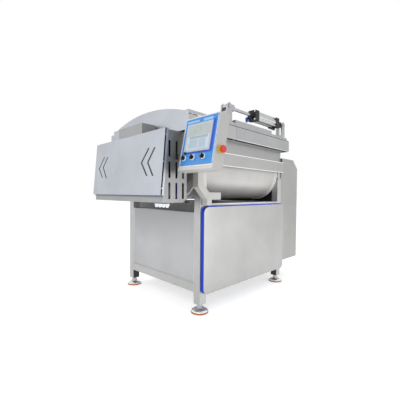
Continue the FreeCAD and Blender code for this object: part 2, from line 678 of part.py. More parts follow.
def make_linkage():
    """Rod bracket, its pin, the rear lug with an open pivot, cylinder and rod."""
    inside = EYE_WIDTH / 2 + EAR_GAP
    near, far = CYLINDER_Y - inside - EAR, CYLINDER_Y + inside + EAR
    head = 5.0
    left, right = EYE_X - BRACKET_HALF, EYE_X + BRACKET_HALF
    web = block(left, left + EAR, near, far, DECK_TOP, AXIS_Z - EAR_HEAD * 1.6)
    save("rod_bracket", fuse(fork(EYE_X, left, right), web))
    pin = rod(PIN_RADIUS, (EYE_X, near - head, AXIS_Z), (EYE_X, far + head, AXIS_Z))
    caps = [rod(PIN_RADIUS + 4, (EYE_X, y, AXIS_Z), (EYE_X, y + head, AXIS_Z))
            for y in (near - head, far)]
    save("hood_pins", fuse(pin, *caps), *hinge_pins())

    stubs = []
    for low, high, cap in ((near - head, near + EAR, near - head), (far - EAR, far + head, far)):
        stub = rod(PIN_RADIUS, (LUG_X, low, AXIS_Z), (LUG_X, high, AXIS_Z))
        stubs.append(fuse(stub, rod(PIN_RADIUS + 4, (LUG_X, cap, AXIS_Z), (LUG_X, cap + head, AXIS_Z))))
    save("cylinder_lug", fork(LUG_X, LUG_X - EAR_HEAD, LUG_X + EAR_HEAD))
    save("lug_pins", *stubs)

    half = EYE_WIDTH / 2
    y0, y1 = CYLINDER_Y - half, CYLINDER_Y + half
    level = EYE_BLOCK / 2
    block_end = EYE_X + EYE_LENGTH
    eye = fuse(rod(level, (EYE_X, y0, AXIS_Z), (EYE_X, y1, AXIS_Z)),
               block(EYE_X, block_end, y0, y1, AXIS_Z - level, AXIS_Z + level))
    eye = eye.cut(pin_bore(EYE_X, PIN_RADIUS + RUNNING))
    piston = CAP_REAR_X - CAP_LENGTH - PISTON_BACK
    rod_end = (piston, CYLINDER_Y, AXIS_Z)
    shaft = rod(ROD_RADIUS, (block_end, CYLINDER_Y, AXIS_Z), rod_end)
    bore = BARREL_OUT - BARREL_WALL
    disc = rod(bore - SEAT, (piston, CYLINDER_Y, AXIS_Z), (piston + PISTON, CYLINDER_Y, AXIS_Z))
    lock = rod(ROD_RADIUS + ROD_NUT, (block_end, CYLINDER_Y, AXIS_Z),
               (block_end + 2 * ROD_NUT, CYLINDER_Y, AXIS_Z))
    save("piston_rod", fuse(eye, shaft, disc, lock))

    front, back = CAP_FRONT_X + CAP_LENGTH, CAP_REAR_X - CAP_LENGTH
    barrel = ring(BARREL_OUT, bore, (front, CYLINDER_Y, AXIS_Z), (back, CYLINDER_Y, AXIS_Z))
    place = CAP_SIZE / 2 - TIE_ROD - 5
    ties = [rod(TIE_ROD, (front, CYLINDER_Y + a * place, AXIS_Z + b * place),
                (back, CYLINDER_Y + a * place, AXIS_Z + b * place))
            for a in (-1, 1) for b in (-1, 1)]
    save("cylinder_barrel", barrel, *ties)
    size = CAP_SIZE / 2
    caps = []
    for x0 in (CAP_FRONT_X, back):
        cap = block(x0, x0 + CAP_LENGTH, CYLINDER_Y - size, CYLINDER_Y + size,
                    AXIS_Z - size, AXIS_Z + size)
        long = [e for e in cap.Edges if abs(e.Length - CAP_LENGTH) < 1e-6]
        caps.append(cap.makeChamfer(TIE_ROD, long))
    neck = rod(ROD_RADIUS + 12, (CAP_FRONT_X - 14, CYLINDER_Y, AXIS_Z),
               (CAP_FRONT_X, CYLINDER_Y, AXIS_Z))
    gland = rod(ROD_RADIUS + RUNNING, (CAP_FRONT_X - 20, CYLINDER_Y, AXIS_Z),
                (front + 1, CYLINDER_Y, AXIS_Z))
    tail = fuse(block(CAP_REAR_X, LUG_X, y0, y1, AXIS_Z - level, AXIS_Z + level),
                rod(level, (LUG_X, y0, AXIS_Z), (LUG_X, y1, AXIS_Z)))
    save("cylinder_caps", fuse(caps[0], neck).cut(gland),
         fuse(caps[1], tail).cut(pin_bore(LUG_X, PIN_RADIUS + RUNNING)))


def make_lid():
    """Opening lid with its stiffening ribs, edge rail and hinge leaves."""
    x0 = SPLIT + SPLIT_GAP / 2
    tray = capped_tray(x0, LID_RIGHT, 0.0, LID_STEP)
    rail = block(SPLIT + KNUCKLE, SPLIT + KNUCKLE + LID_RAIL_LENGTH, SKIRT_NEAR + DECK_INSET,
                 SKIRT_NEAR + DECK_INSET + LID_RAIL_WIDTH, DECK_TOP, DECK_TOP + LID_RAIL_HEIGHT)
    ribs = []
    first, last = SPLIT + LID_RIB_FIRST, LID_RIGHT - LID_RIB_LAST
    near, far = SKIRT_NEAR + LID_RIB_END + DECK_INSET, SKIRT_FAR - LID_RIB_END + 3 * DECK_INSET
    for i in range(LID_RIB_COUNT):
        x = first + (last - first) * i / (LID_RIB_COUNT - 1)
        ribs.append(block(x, x + 2 * COVER_SHEET, near, far, DECK_TOP, DECK_TOP + LID_RIB))
    for y in (MID_Y - LID_RIB_SPREAD, MID_Y + LID_RIB_SPREAD):
        ribs.append(block(first, last, y, y + 2 * COVER_SHEET, DECK_TOP, DECK_TOP + LID_RIB))
    save("lid", fuse(tray, rail, *ribs, *hinge_side(1)))


def make_pivot():
    """Trunnion pins, pillow blocks, and the rest pads on the near posts."""
    far = TRUNNION_RADIUS
    blocks, pins, rests, pads = [], [], [], []
    inset = (POST - BLOCK_WIDTH) / 2
    for side, x0 in ((-1, 0.0), (1, BASE_LENGTH - POST)):
        low, high = x0 + inset, x0 + POST - inset
        foot = block(low, high, PIVOT_Y - BLOCK_WIDTH / 2, PIVOT_Y + BLOCK_WIDTH / 2,
                     POST_TOP, POST_TOP + 10)
        cheek = block(low + 5, high - 5, PIVOT_Y - BLOCK_HEAD, PIVOT_Y + BLOCK_HEAD,
                      POST_TOP + 5, PIVOT_Z)
        cheek = cheek.common(block(low, high, PIVOT_Y - BLOCK_WIDTH / 2,
                                   PIVOT_Y + BLOCK_WIDTH / 2, POST_TOP, PIVOT_Z))
        head = rod(BLOCK_HEAD, (low + 5, PIVOT_Y, PIVOT_Z), (high - 5, PIVOT_Y, PIVOT_Z))
        bore = rod(far + RUNNING, (low - 1, PIVOT_Y, PIVOT_Z), (high + 1, PIVOT_Y, PIVOT_Z))
        blocks.append(fuse(foot, cheek, head).cut(bore))
        plate_x = TROUGH_LEFT if side < 0 else TROUGH_RIGHT
        end_x = low if side < 0 else CABINET_LEFT + TILT_BOX - 20
        pin = rod(far, (plate_x, PIVOT_Y, PIVOT_Z), (end_x, PIVOT_Y, PIVOT_Z))
        pins.append(pin)
        rests.append(block(low, high, inset, POST - inset, POST_TOP + REST_PAD, RIM_TOP - RIM_PLATE))
        pads.append(rod(BLOCK_WIDTH / 2, (x0 + POST / 2, POST / 2, POST_TOP),
                        (x0 + POST / 2, POST / 2, POST_TOP + REST_PAD - SEAT)))
    save("pillow_blocks", *blocks)
    save("trunnions", *pins)
    save("rest_blocks", *rests)
    save("rest_pads", *pads)


def box_outline(inset):
    """Side outline of the drive box, drawn in by a wall."""
    slope = (COVER_HIGH_X - COVER_LOW_X) / (COVER_HIGH_Z - COVER_LOW_Z)
    face = COVER_LOW_X + COVER_PAN
    top_x = face + (BOX_TOP - COVER_LOW_Z) * slope
    return [(BOX_RIGHT - inset, BOX_BOTTOM + inset), (BOX_FOOT + inset, BOX_BOTTOM + inset),
            (BOX_FOOT + inset, COVER_LOW_Z), (face + inset, COVER_LOW_Z),
            (top_x + inset, BOX_TOP - inset), (BOX_RIGHT - inset, BOX_TOP - inset)]


def slots():
    """Vent slots through both ends of the drive box."""
    out = []
    for back in SLOT_BACKS:
        for rise in SLOT_RISES:
            x, z = BOX_RIGHT - back, BOX_BOTTOM + rise
            flat = block(x - SLOT_WIDTH / 2, x + SLOT_WIDTH / 2, -1, BASE_WIDTH + 1,
                         z + SLOT_WIDTH / 2, z + SLOT_HEIGHT - SLOT_WIDTH / 2)
            ends = [rod(SLOT_WIDTH / 2, (x, -1, h), (x, BASE_WIDTH + 1, h))
                    for h in (z + SLOT_WIDTH / 2, z + SLOT_HEIGHT - SLOT_WIDTH / 2)]
            out.append(fuse(flat, *ends))
    return out


def motor_places():
    """Near end of each motor and the direction to its gearbox."""
    return ((MOTOR_NEAR, 1.0), (BASE_WIDTH - MOTOR_NEAR, -1.0))


def pinion_y(start, way):
    """Middle of a gearbox, where its output shaft turns."""
    return start + way * (MOTOR_LENGTH + GEARBOX_WIDTH / 2)


def make_drive_box():
    """Box over the drives: folded shell, slanted cover, hump, lobed plate behind it."""
    sheet = BOX_SHEET
    shell = prism(box_outline(0.0), BASE_WIDTH, "y", 0.0)
    shell = shell.cut(prism(box_outline(sheet), BASE_WIDTH - 2 * sheet, "y", sheet))
    window = block(COVER_LOW_X, BOX_FOOT + 60, 40.0, BASE_WIDTH - 40.0,
                   COVER_LOW_Z + 30, BOX_TOP - 30)
    shell = shell.cut(window).cut(slots())
    for y in SHAFTS:
        shell = shell.cut(rod(SEAT_BORE, (BOX_RIGHT - 10, y, SHAFT_HEIGHT),
                              (BOX_RIGHT + 1, y, SHAFT_HEIGHT)))
    terminal = terminal_block(2.0, 0.0)
    save("drive_box", shell.cut(terminal))

    low, high = -COVER_OVERLAP, BASE_WIDTH + COVER_OVERLAP
    pan = COVER_PAN - SEAT
    outline = [(COVER_LOW_X, COVER_LOW_Z), (COVER_HIGH_X, COVER_HIGH_Z),
               (COVER_HIGH_X + pan, COVER_HIGH_Z), (COVER_LOW_X + pan, COVER_LOW_Z)]
    slope = (COVER_HIGH_X - COVER_LOW_X) / (COVER_HIGH_Z - COVER_LOW_Z)
    inner_low, inner_high = COVER_LOW_Z + sheet, COVER_HIGH_Z - sheet
    inner = [(COVER_LOW_X + sheet + slope * sheet, inner_low),
             (COVER_HIGH_X + sheet - slope * sheet, inner_high),
             (COVER_HIGH_X + 2 * pan, inner_high), (COVER_LOW_X + 2 * pan, inner_low)]
    cover = prism(outline, high - low, "y", low)
    save("drive_box_cover", cover.cut(prism(inner, high - low - 2 * sheet, "y", low + sheet)))

    right, near, far = BOX_RIGHT - HUMP_BACK, MID_Y - HUMP_LENGTH / 2, MID_Y + HUMP_LENGTH / 2
    left, top = right - HUMP_DEPTH, BOX_TOP + HUMP_HEIGHT
    hump = block(left, right, near, far, BOX_TOP, top)
    save("drive_box_hump", hump.cut(block(left + sheet, right - sheet, near + sheet, far - sheet,
                                          BOX_TOP, top - sheet)))

    plate_right = -LOBE_PLATE_GAP
    plate_left = plate_right - LOBE_PLATE
    top = RIM_TOP - RIM_PLATE
    plate = lobes(LOBE_RADIUS, plate_left, plate_right, top)
    plate = plate.cut(block(RIM_LEFT - 1, RIM_LEFT + RIM_WALL, RIM_NEAR, RIM_FAR,
                            RIM_BOTTOM, RIM_TOP))
    size = STANDOFF
    tubes = []
    for y in (NEAR_SHAFT - STANDOFF_SPREAD, MID_Y, FAR_SHAFT + STANDOFF_SPREAD):
        for z in (SHAFT_HEIGHT - STANDOFF_DROP, SHAFT_HEIGHT + STANDOFF_RISE):
            low_y = y - size / 2
            if z < SHAFT_HEIGHT and abs(y - MID_Y) < size:
                continue
            tubes.append(hollow_tube(BOX_RIGHT, plate_left, low_y, low_y + size,
                                     z - size / 2, z + size / 2, "x"))
    for y in SHAFTS:
        plate = plate.cut(rod(SHAFT_RADIUS + 1, (plate_left - 1, y, SHAFT_HEIGHT),
                              (plate_right + 1, y, SHAFT_HEIGHT)))
    save("drive_plate", plate)
    save("drive_standoffs", *tubes)


def terminal_block(grow, rise):
    """Terminal box under the near motor, poking out of the drive box floor."""
    half = TERMINAL_HALF + grow
    start = MOTOR_NEAR + TERMINAL_START
    y0, y1 = start - grow, start + TERMINAL_LENGTH + grow
    top = MOTOR_Z - MOTOR_RADIUS + 14.0 + rise
    return block(MOTOR_X - half, MOTOR_X + half, y0, y1, BOX_BOTTOM - TERMINAL_DROP, top)


def make_motors():
    """Two gear motors, the terminal box with its cable glands, and the chains."""
    units = []
    for start, way in motor_places():
        body = rod(MOTOR_RADIUS, (MOTOR_X, start, MOTOR_Z), (MOTOR_X, start + way * MOTOR_LENGTH, MOTOR_Z))
        centre = pinion_y(start, way)
        half = GEARBOX_WIDTH / 2
        case = block(MOTOR_X - GEARBOX_HALF, MOTOR_X + GEARBOX_HALF, centre - half, centre + half,
                     MOTOR_Z - GEARBOX_HALF, MOTOR_Z + GEARBOX_HALF)
        right = MOTOR_X + GEARBOX_HALF
        bore = rod(STUB_RADIUS + RUNNING, (right - 30, centre, MOTOR_Z), (right + 1, centre, MOTOR_Z))
        feet = block(MOTOR_X - 40, MOTOR_X + 40, centre - half, centre + half,
                     BOX_BOTTOM + BOX_SHEET, MOTOR_Z)
        unit = fuse(body, case, feet)
        if way > 0:
            unit = fuse(unit, terminal_block(0.0, 0.0))
        units.append(unit.cut(bore))
    save("gear_motors", *units)

    glands = []
    middle = MOTOR_NEAR + TERMINAL_START + TERMINAL_LENGTH / 2
    top = BOX_BOTTOM - TERMINAL_DROP
    for i in range(4):
        y = middle + (i - 1.5) * GLAND_PITCH
        corners = [V(MOTOR_X + GLAND_NUT * math.cos(k * math.pi / 3),
                     y + GLAND_NUT * math.sin(k * math.pi / 3), top - GLAND_NUT_HEIGHT)
                   for k in range(7)]
        nut = Part.Face(Part.makePolygon(corners)).extrude(V(0, 0, GLAND_NUT_HEIGHT))
        low = top - GLAND_NUT_HEIGHT - GLAND_HEIGHT
        body = rod(GLAND_BODY, (MOTOR_X, y, low), (MOTOR_X, y, top - GLAND_NUT_HEIGHT))
        nose = Part.makeCone(GLAND_BODY / 2, GLAND_BODY, GLAND_NOSE, V(MOTOR_X, y, low - GLAND_NOSE),
                             V(0, 0, 1))
        glands.append(fuse(nut, body, nose))
    save("cable_glands", *glands)


def sprocket(y, z, teeth):
    """Chain wheel with rounded tooth gaps, its face across X."""
    pitch_radius = PITCH / (2 * math.sin(math.pi / teeth))
    roller = PITCH * 0.31
    outer = pitch_radius + PITCH * 0.26
    x0 = SPROCKET_X - SPROCKET_WIDTH / 2
    points = []
    for i in range(teeth):
        for part, radius in ((0.0, pitch_radius - roller), (0.26, pitch_radius - roller * 0.4),
                             (0.42, outer), (0.58, outer), (0.74, pitch_radius - roller * 0.4)):
            angle = 2 * math.pi * (i + part) / teeth
            points.append((y + radius * math.cos(angle), z + radius * math.sin(angle)))
    return prism(points, SPROCKET_WIDTH, "x", x0)


def chain_wrap(centre, motor, spread, x0, x1):
    """Band round two chain wheels: hull of two discs grown by a distance."""
    (y1, z1), (y2, z2) = centre, motor
    r1 = PITCH / (2 * math.sin(math.pi / SHAFT_TEETH)) + spread
    r2 = PITCH / (2 * math.sin(math.pi / MOTOR_TEETH)) + spread
    run = math.hypot(y2 - y1, z2 - z1)
    base = math.atan2(z2 - z1, y2 - y1)
    lean = math.acos((r1 - r2) / run)
    corners = []
    for angle in (base + lean, base - lean):
        corners.append((y1 + r1 * math.cos(angle), z1 + r1 * math.sin(angle)))
        corners.append((y2 + r2 * math.cos(angle), z2 + r2 * math.sin(angle)))
    hull = prism([corners[0], corners[1], corners[3], corners[2]], x1 - x0, "x", x0)
    return fuse(hull, rod(r1, (x0, y1, z1), (x1, y1, z1)), rod(r2, (x0, y2, z2), (x1, y2, z2)))


def make_chains():
    """Each chain as its two link plates' loops, either side of the wheels' teeth."""
    loops = []
    for shaft, (start, way) in zip(SHAFTS, motor_places()):
        motor = (pinion_y(start, way), MOTOR_Z)
        wheel = (shaft, SHAFT_HEIGHT)
        reach = SPROCKET_WIDTH / 2 + SEAT
        for x0 in (SPROCKET_X - reach - LINK_PLATE, SPROCKET_X + reach):
            x1 = x0 + LINK_PLATE
            band = chain_wrap(wheel, motor, PITCH * 0.38, x0, x1)
            loops.append(band.cut(chain_wrap(wheel, motor, -PITCH * 0.38, x0 - 1, x1 + 1)))
    save("drive_chains", *loops)


def paddle(x, y, turn, hand):
    """Arm and twisted blade at one station, turned about the shaft."""
    arm = rod(PADDLE_ARM, (0, 0, 0), (0, 0, PADDLE_ROOT + 20))
    half = PADDLE_THICKNESS / 2
    blade = block(-PADDLE_WIDTH / 2, PADDLE_WIDTH / 2, -half, half, PADDLE_ROOT, PADDLE_REACH + 20)
    blade.rotate(V(0, 0, 0), V(0, 0, 1), hand * PADDLE_TWIST)
    sweep = rod(PADDLE_REACH, (-PADDLE_WIDTH, 0, 0), (PADDLE_WIDTH, 0, 0))
    piece = fuse(arm, blade.common(sweep))
    piece.rotate(V(0, 0, 0), V(1, 0, 0), turn)
    piece.translate(V(x, y, SHAFT_HEIGHT))
    return piece


def make_shafts():
    """Mixing shafts with welded paddles and chain wheels, and the motor pinions."""
    left_end, right_end = SPROCKET_X - 18.0, TROUGH_RIGHT + 34.0
    inner_left, inner_right = TROUGH_LEFT + END_PLATE, TROUGH_RIGHT - END_PLATE
    step = (inner_right - inner_left - 2 * PADDLE_MARGIN) / (PADDLE_COUNT - 1)
    for name, y, hand, offset in (("near", NEAR_SHAFT, 1, 45.0), ("far", FAR_SHAFT, -1, 135.0)):
        shaft = rod(SHAFT_RADIUS, (left_end, y, SHAFT_HEIGHT), (right_end, y, SHAFT_HEIGHT))
        blades = [paddle(inner_left + PADDLE_MARGIN + i * step, y, offset + 90.0 * i * hand, hand)
                  for i in range(PADDLE_COUNT)]
        wheel = sprocket(y, SHAFT_HEIGHT, SHAFT_TEETH)
        save("mixing_shaft_%s" % name, fuse(shaft, wheel, *blades))
    for name, (start, way) in zip(("near", "far"), motor_places()):
        y = pinion_y(start, way)
        right = MOTOR_X + GEARBOX_HALF
        stub = rod(STUB_RADIUS, (right - 25, y, MOTOR_Z),
                   (SPROCKET_X + SPROCKET_WIDTH / 2 + 6, y, MOTOR_Z))
        save("pinion_%s" % name, fuse(sprocket(y, MOTOR_Z, MOTOR_TEETH), stub))

    bearings = []
    bore = SHAFT_RADIUS + RUNNING
    plate_right = -LOBE_PLATE_GAP
    for y in SHAFTS:
        bearings.append(ring(SEAT_BORE - 3, bore, (plate_right, y, SHAFT_HEIGHT),
                             (TROUGH_LEFT, y, SHAFT_HEIGHT)))
        base = rod(SEAT_BORE + 8, (TROUGH_RIGHT, y, SHAFT_HEIGHT), (TROUGH_RIGHT + 14, y, SHAFT_HEIGHT))
        hub = rod(SEAT_BORE - 10, (TROUGH_RIGHT, y, SHAFT_HEIGHT), (TROUGH_RIGHT + 40, y, SHAFT_HEIGHT))
        hole = rod(bore, (TROUGH_RIGHT - 1, y, SHAFT_HEIGHT), (TROUGH_RIGHT + 36, y, SHAFT_HEIGHT))
        bearings.append(fuse(base, hub).cut(hole))
    save("bearing_housings", *bearings)


def cabinet_outline(inset):
    """End outline of the cabinet with its cut off top corner."""
    x0, x1 = CABINET_LEFT + inset, CABINET_RIGHT - CABINET_SHEET - inset
    z0, z1 = CABINET_BOTTOM + inset, CABINET_TOP - inset
    return [(x0, z0), (x1, z0), (x1, z1 - CABINET_CHAMFER_Z), (x1 - CABINET_CHAMFER_X, z1), (x0, z1)]


def door_hinges(low, high):
    """Lower knuckles with pins for the shell, and upper knuckles for the door."""
    face = CABINET_RIGHT - CABINET_SHEET
    x, y = DOOR_AXIS_X, DOOR_AXIS_Y
    fixed, hung = [], []
    for share in DOOR_HINGE_SHARES:
        z = low + (high - low) * share
        knuckle = rod(DOOR_BARREL, (x, y, z - DOOR_KNUCKLE), (x, y, z - SEAT))
        pin = rod(DOOR_PIN, (x, y, z - DOOR_KNUCKLE), (x, y, z + DOOR_KNUCKLE - 2 * DOOR_PIN))
        leaf = block(face, x, y, y + DOOR_LEAF, z - DOOR_KNUCKLE, z - SEAT)
        leaf = leaf.common(block(face, face + CABINET_SHEET, y, y + DOOR_LEAF, z - DOOR_KNUCKLE, z))
        fixed.append(fuse(knuckle, pin, leaf))
        sleeve = rod(DOOR_BARREL, (x, y, z + SEAT), (x, y, z + DOOR_KNUCKLE))
        flap = block(CABINET_RIGHT, CABINET_RIGHT + CABINET_SHEET, y - DOOR_LEAF, y,
                     z + SEAT, z + DOOR_KNUCKLE)
        bore = rod(DOOR_PIN + RUNNING, (x, y, z), (x, y, z + DOOR_KNUCKLE - DOOR_PIN))
        hung.append(fuse(sleeve, flap).cut(bore))
    return fixed, hung


def make_cabinet():
    """Cabinet with the tilt gearbox, on standoffs from the right posts, and its door."""
    sheet = CABINET_SHEET
    shell = prism(cabinet_outline(0.0), CABINET_FAR, "y", 0.0)
    shell = shell.cut(prism(cabinet_outline(sheet), CABINET_FAR - 2 * sheet, "y", sheet))
    low, high = CABINET_BOTTOM + DOOR_BELOW, CABINET_TOP - CABINET_CHAMFER_Z - DOOR_ABOVE
    near, far = DOOR_MARGIN, CABINET_FAR - DOOR_MARGIN
    right = CABINET_RIGHT - sheet
    lap = DOOR_LAP
    shell = shell.cut(block(right - sheet, right, near + lap, far - lap, low + lap, high - lap))
    shell = shell.cut(rod(TRUNNION_RADIUS + 4, (CABINET_LEFT - 1, PIVOT_Y, PIVOT_Z),
                          (CABINET_LEFT + 10, PIVOT_Y, PIVOT_Z)))
    spacers = [block(BASE_LENGTH, CABINET_LEFT, 0, sheet, CABINET_BOTTOM, POST_TOP)]
    for y in (POST / 2, PIVOT_Y):
        for z in (CABINET_BOTTOM + POST, POST_TOP - 2 * POST):
            spacers.append(block(BASE_LENGTH, CABINET_LEFT, y - POST / 2, y + POST / 2, z, z + POST))
    fixed, hung = door_hinges(low, high)
    save("cabinet_shell", fuse(shell, *spacers, *fixed))
    save("cabinet_door", fuse(block(right + SEAT, CABINET_RIGHT, near, far, low, high), *hung))

    x0 = CABINET_LEFT + 14.0
    half = TILT_BOX / 2
    case = block(x0, x0 + TILT_BOX, PIVOT_Y - half, PIVOT_Y + half, PIVOT_Z - half, PIVOT_Z + half)
    worm = rod(half * 0.8, (x0 + half, PIVOT_Y, PIVOT_Z - half),
               (x0 + half, PIVOT_Y, PIVOT_Z - 3.6 * TILT_BOX))
    foot = block(CABINET_LEFT + sheet, x0, PIVOT_Y - half, PIVOT_Y + half,
                 PIVOT_Z - 2 * half, PIVOT_Z - half / 2)
    bore = rod(TRUNNION_RADIUS + RUNNING, (CABINET_LEFT, PIVOT_Y, PIVOT_Z),
               (CABINET_LEFT + TILT_BOX, PIVOT_Y, PIVOT_Z))
    save("tilt_gearbox", fuse(case, worm, foot).cut(bore))


def face_point(along, up, out=0.0):
    """Point on the console face: along Y, up the slope, and out along its normal."""
    run_x, run_z = FACE_HIGH_X - FACE_LOW_X, FACE_HIGH_Z - FACE_LOW_Z
    length = math.hypot(run_x, run_z)
    slope_x, slope_z = run_x / length, run_z / length
    return V(FACE_LOW_X + slope_x * up - slope_z * out, along, FACE_LOW_Z + slope_z * up + slope_x * out)


def face_slab(near, far, low, high, back, front):
    """Plate lying on the console face between two depths along its normal."""
    corners = [face_point(near, low, back), face_point(near, high, back),
               face_point(near, high, front), face_point(near, low, front)]
    wire = Part.makePolygon(corners + corners[:1])
    return Part.Face(wire).extrude(V(0, far - near, 0))


def make_console():
    """Slanted console: housing with a rounded chin, face plate, screen, switches."""
    length = math.hypot(FACE_HIGH_X - FACE_LOW_X, FACE_HIGH_Z - FACE_LOW_Z)
    near, far = CONSOLE_NEAR, CONSOLE_FAR
    depth, wall, rim = CONSOLE_DEPTH, CONSOLE_WALL, FACE_RIM
    chin_z = FACE_LOW_Z - CONSOLE_CHIN
    lean = (FACE_HIGH_X - FACE_LOW_X) / (FACE_HIGH_Z - FACE_LOW_Z)
    chin_x = FACE_LOW_X - lean * CONSOLE_CHIN
    corners = [(FACE_LOW_X, FACE_LOW_Z), (FACE_HIGH_X, FACE_HIGH_Z),
               (FACE_HIGH_X + depth, FACE_HIGH_Z), (FACE_LOW_X + depth, FACE_LOW_Z),
               (chin_x + depth - 12, chin_z), (chin_x + 14, chin_z), (chin_x, chin_z + 12)]
    body = prism(corners, far - near, "y", near)
    front = FACE_PLATE + wall
    hollow = [(FACE_LOW_X + front, FACE_LOW_Z + wall), (FACE_HIGH_X + front, FACE_HIGH_Z - wall),
              (FACE_HIGH_X + depth - wall, FACE_HIGH_Z - wall),
              (FACE_LOW_X + depth - wall, FACE_LOW_Z + wall),
              (chin_x + depth - 12 - wall, chin_z + wall), (chin_x + 14 + front, chin_z + wall)]
    inside = prism(hollow, far - near - 2 * wall, "y", near + wall)
    window = face_slab(SCREEN_NEAR + 12, SCREEN_FAR - 12, SCREEN_LOW + 12, SCREEN_HIGH - 12, -12, 0)
    seat = face_slab(near + rim, far - rim, rim, length - rim, -FACE_PLATE, 1.0)
    housing = body.cut(inside).cut(seat).cut(window)
    plate = face_slab(near + rim, far - rim, rim, length - rim, -FACE_PLATE, 0.0).cut(window)
    knobs = [CONSOLE_FAR - inset for inset in KNOB_INSETS]
    for y in knobs:
        hole = rod(KNOB_STEM + 1, face_point(y, KNOB_UP, -12), face_point(y, KNOB_UP, 2))
        housing, plate = housing.cut(hole), plate.cut(hole)
    housing = housing.cut(rod(ESTOP_STEM + 3, (ESTOP_X, near - 1, ESTOP_Z), (ESTOP_X, near + 8, ESTOP_Z)))
    save("console_housing", housing)
    save("console_face", plate)
    frame = face_slab(SCREEN_NEAR, SCREEN_FAR, SCREEN_LOW, SCREEN_HIGH, 0.0, SCREEN_BEZEL)
    band = SCREEN_BAND
    sight = (SCREEN_NEAR + band, SCREEN_FAR - band, SCREEN_LOW + band, SCREEN_HIGH - band)
    save("screen_frame", frame.cut(face_slab(*sight, 2.0, SCREEN_BEZEL)))
    save("screen_glass", face_slab(*sight, 2.0, SCREEN_BEZEL - 1))

    rings = []
    for label, y in zip(("left", "middle", "right"), knobs):
        base = rod(KNOB_RADIUS + 3, face_point(y, KNOB_UP, 0), face_point(y, KNOB_UP, 5))
        bore = rod(KNOB_STEM + RUNNING, face_point(y, KNOB_UP, -1), face_point(y, KNOB_UP, 6))
        rings.append(base.cut(bore))
        drum = rod(KNOB_RADIUS, face_point(y, KNOB_UP, 5 + SEAT), face_point(y, KNOB_UP, 14))
        grip = face_slab(y - 4, y + 4, KNOB_UP - KNOB_RADIUS, KNOB_UP + KNOB_RADIUS, 12, KNOB_HEIGHT)
        stem = rod(KNOB_STEM, face_point(y, KNOB_UP, -14), face_point(y, KNOB_UP, 6))
        save("selector_%s" % label, fuse(drum, grip, stem))
    save("selector_rings", *rings)

    collar = ring(ESTOP_HEAD + 3, ESTOP_STEM + RUNNING, (ESTOP_X, near, ESTOP_Z),
                  (ESTOP_X, ESTOP_FACE, ESTOP_Z))
    save("estop_ring", collar)
    neck = ESTOP_NECK
    stem = rod(ESTOP_STEM, (ESTOP_X, near + 18, ESTOP_Z), (ESTOP_X, neck, ESTOP_Z))
    cone = Part.makeCone(ESTOP_STEM + 4, ESTOP_HEAD, ESTOP_CONE, V(ESTOP_X, neck, ESTOP_Z), V(0, -1, 0))
    head = rod(ESTOP_HEAD, (ESTOP_X, neck - ESTOP_CONE, ESTOP_Z), (ESTOP_X, Y_LOW, ESTOP_Z))
    top = [e for e in head.Edges if abs(e.BoundBox.YMin - Y_LOW) < 1e-3 and e.BoundBox.YLength < 1e-3]
    save("estop_head", fuse(stem, cone, head.makeChamfer(4.0, top)))


def make_arm():
    """Bent square tube that carries the console from the near left post."""
    y0, y1 = -ARM, 0.0
    x0, x1 = ARM_X, ARM_X + ARM
    diagonal = ARM * math.tan(math.pi / 8)
    low = ARM_LOW
    outer_turn = ARM_BEND - ARM_LOW
    outline = [(x0, ARM_TOP), (x0, ARM_BEND), (x0 + outer_turn, low), (ARM_END, low),
               (ARM_END, low + ARM), (x0 + outer_turn + diagonal, low + ARM),
               (x1, ARM_BEND + diagonal), (x1, ARM_TOP)]
    tube = prism(outline, ARM, "y", y0)
    foot = block(x0 + outer_turn, POST, y0, y1, low - ARM_CLEAR - 10, low)
    beam_z = ESTOP_Z - ARM_BEAM / 2
    reach = (CONSOLE_NEAR + CONSOLE_FAR - ARM_HEAD) / 2
    beam = block(x0 + 5, x1 - 5, reach, y0, beam_z, beam_z + ARM_BEAM)
    lean = (FACE_HIGH_X - FACE_LOW_X) / (FACE_HIGH_Z - FACE_LOW_Z)
    back_low = FACE_LOW_X + CONSOLE_DEPTH + lean * (beam_z - FACE_LOW_Z)
    back_high = back_low + lean * ARM_BEAM
    head = prism([(back_low, beam_z), (x1 - 5, beam_z), (x1 - 5, beam_z + ARM_BEAM),
                  (back_high, beam_z + ARM_BEAM)], ARM_HEAD, "y", reach)
    save("console_arm", fuse(tube, foot, beam, head))


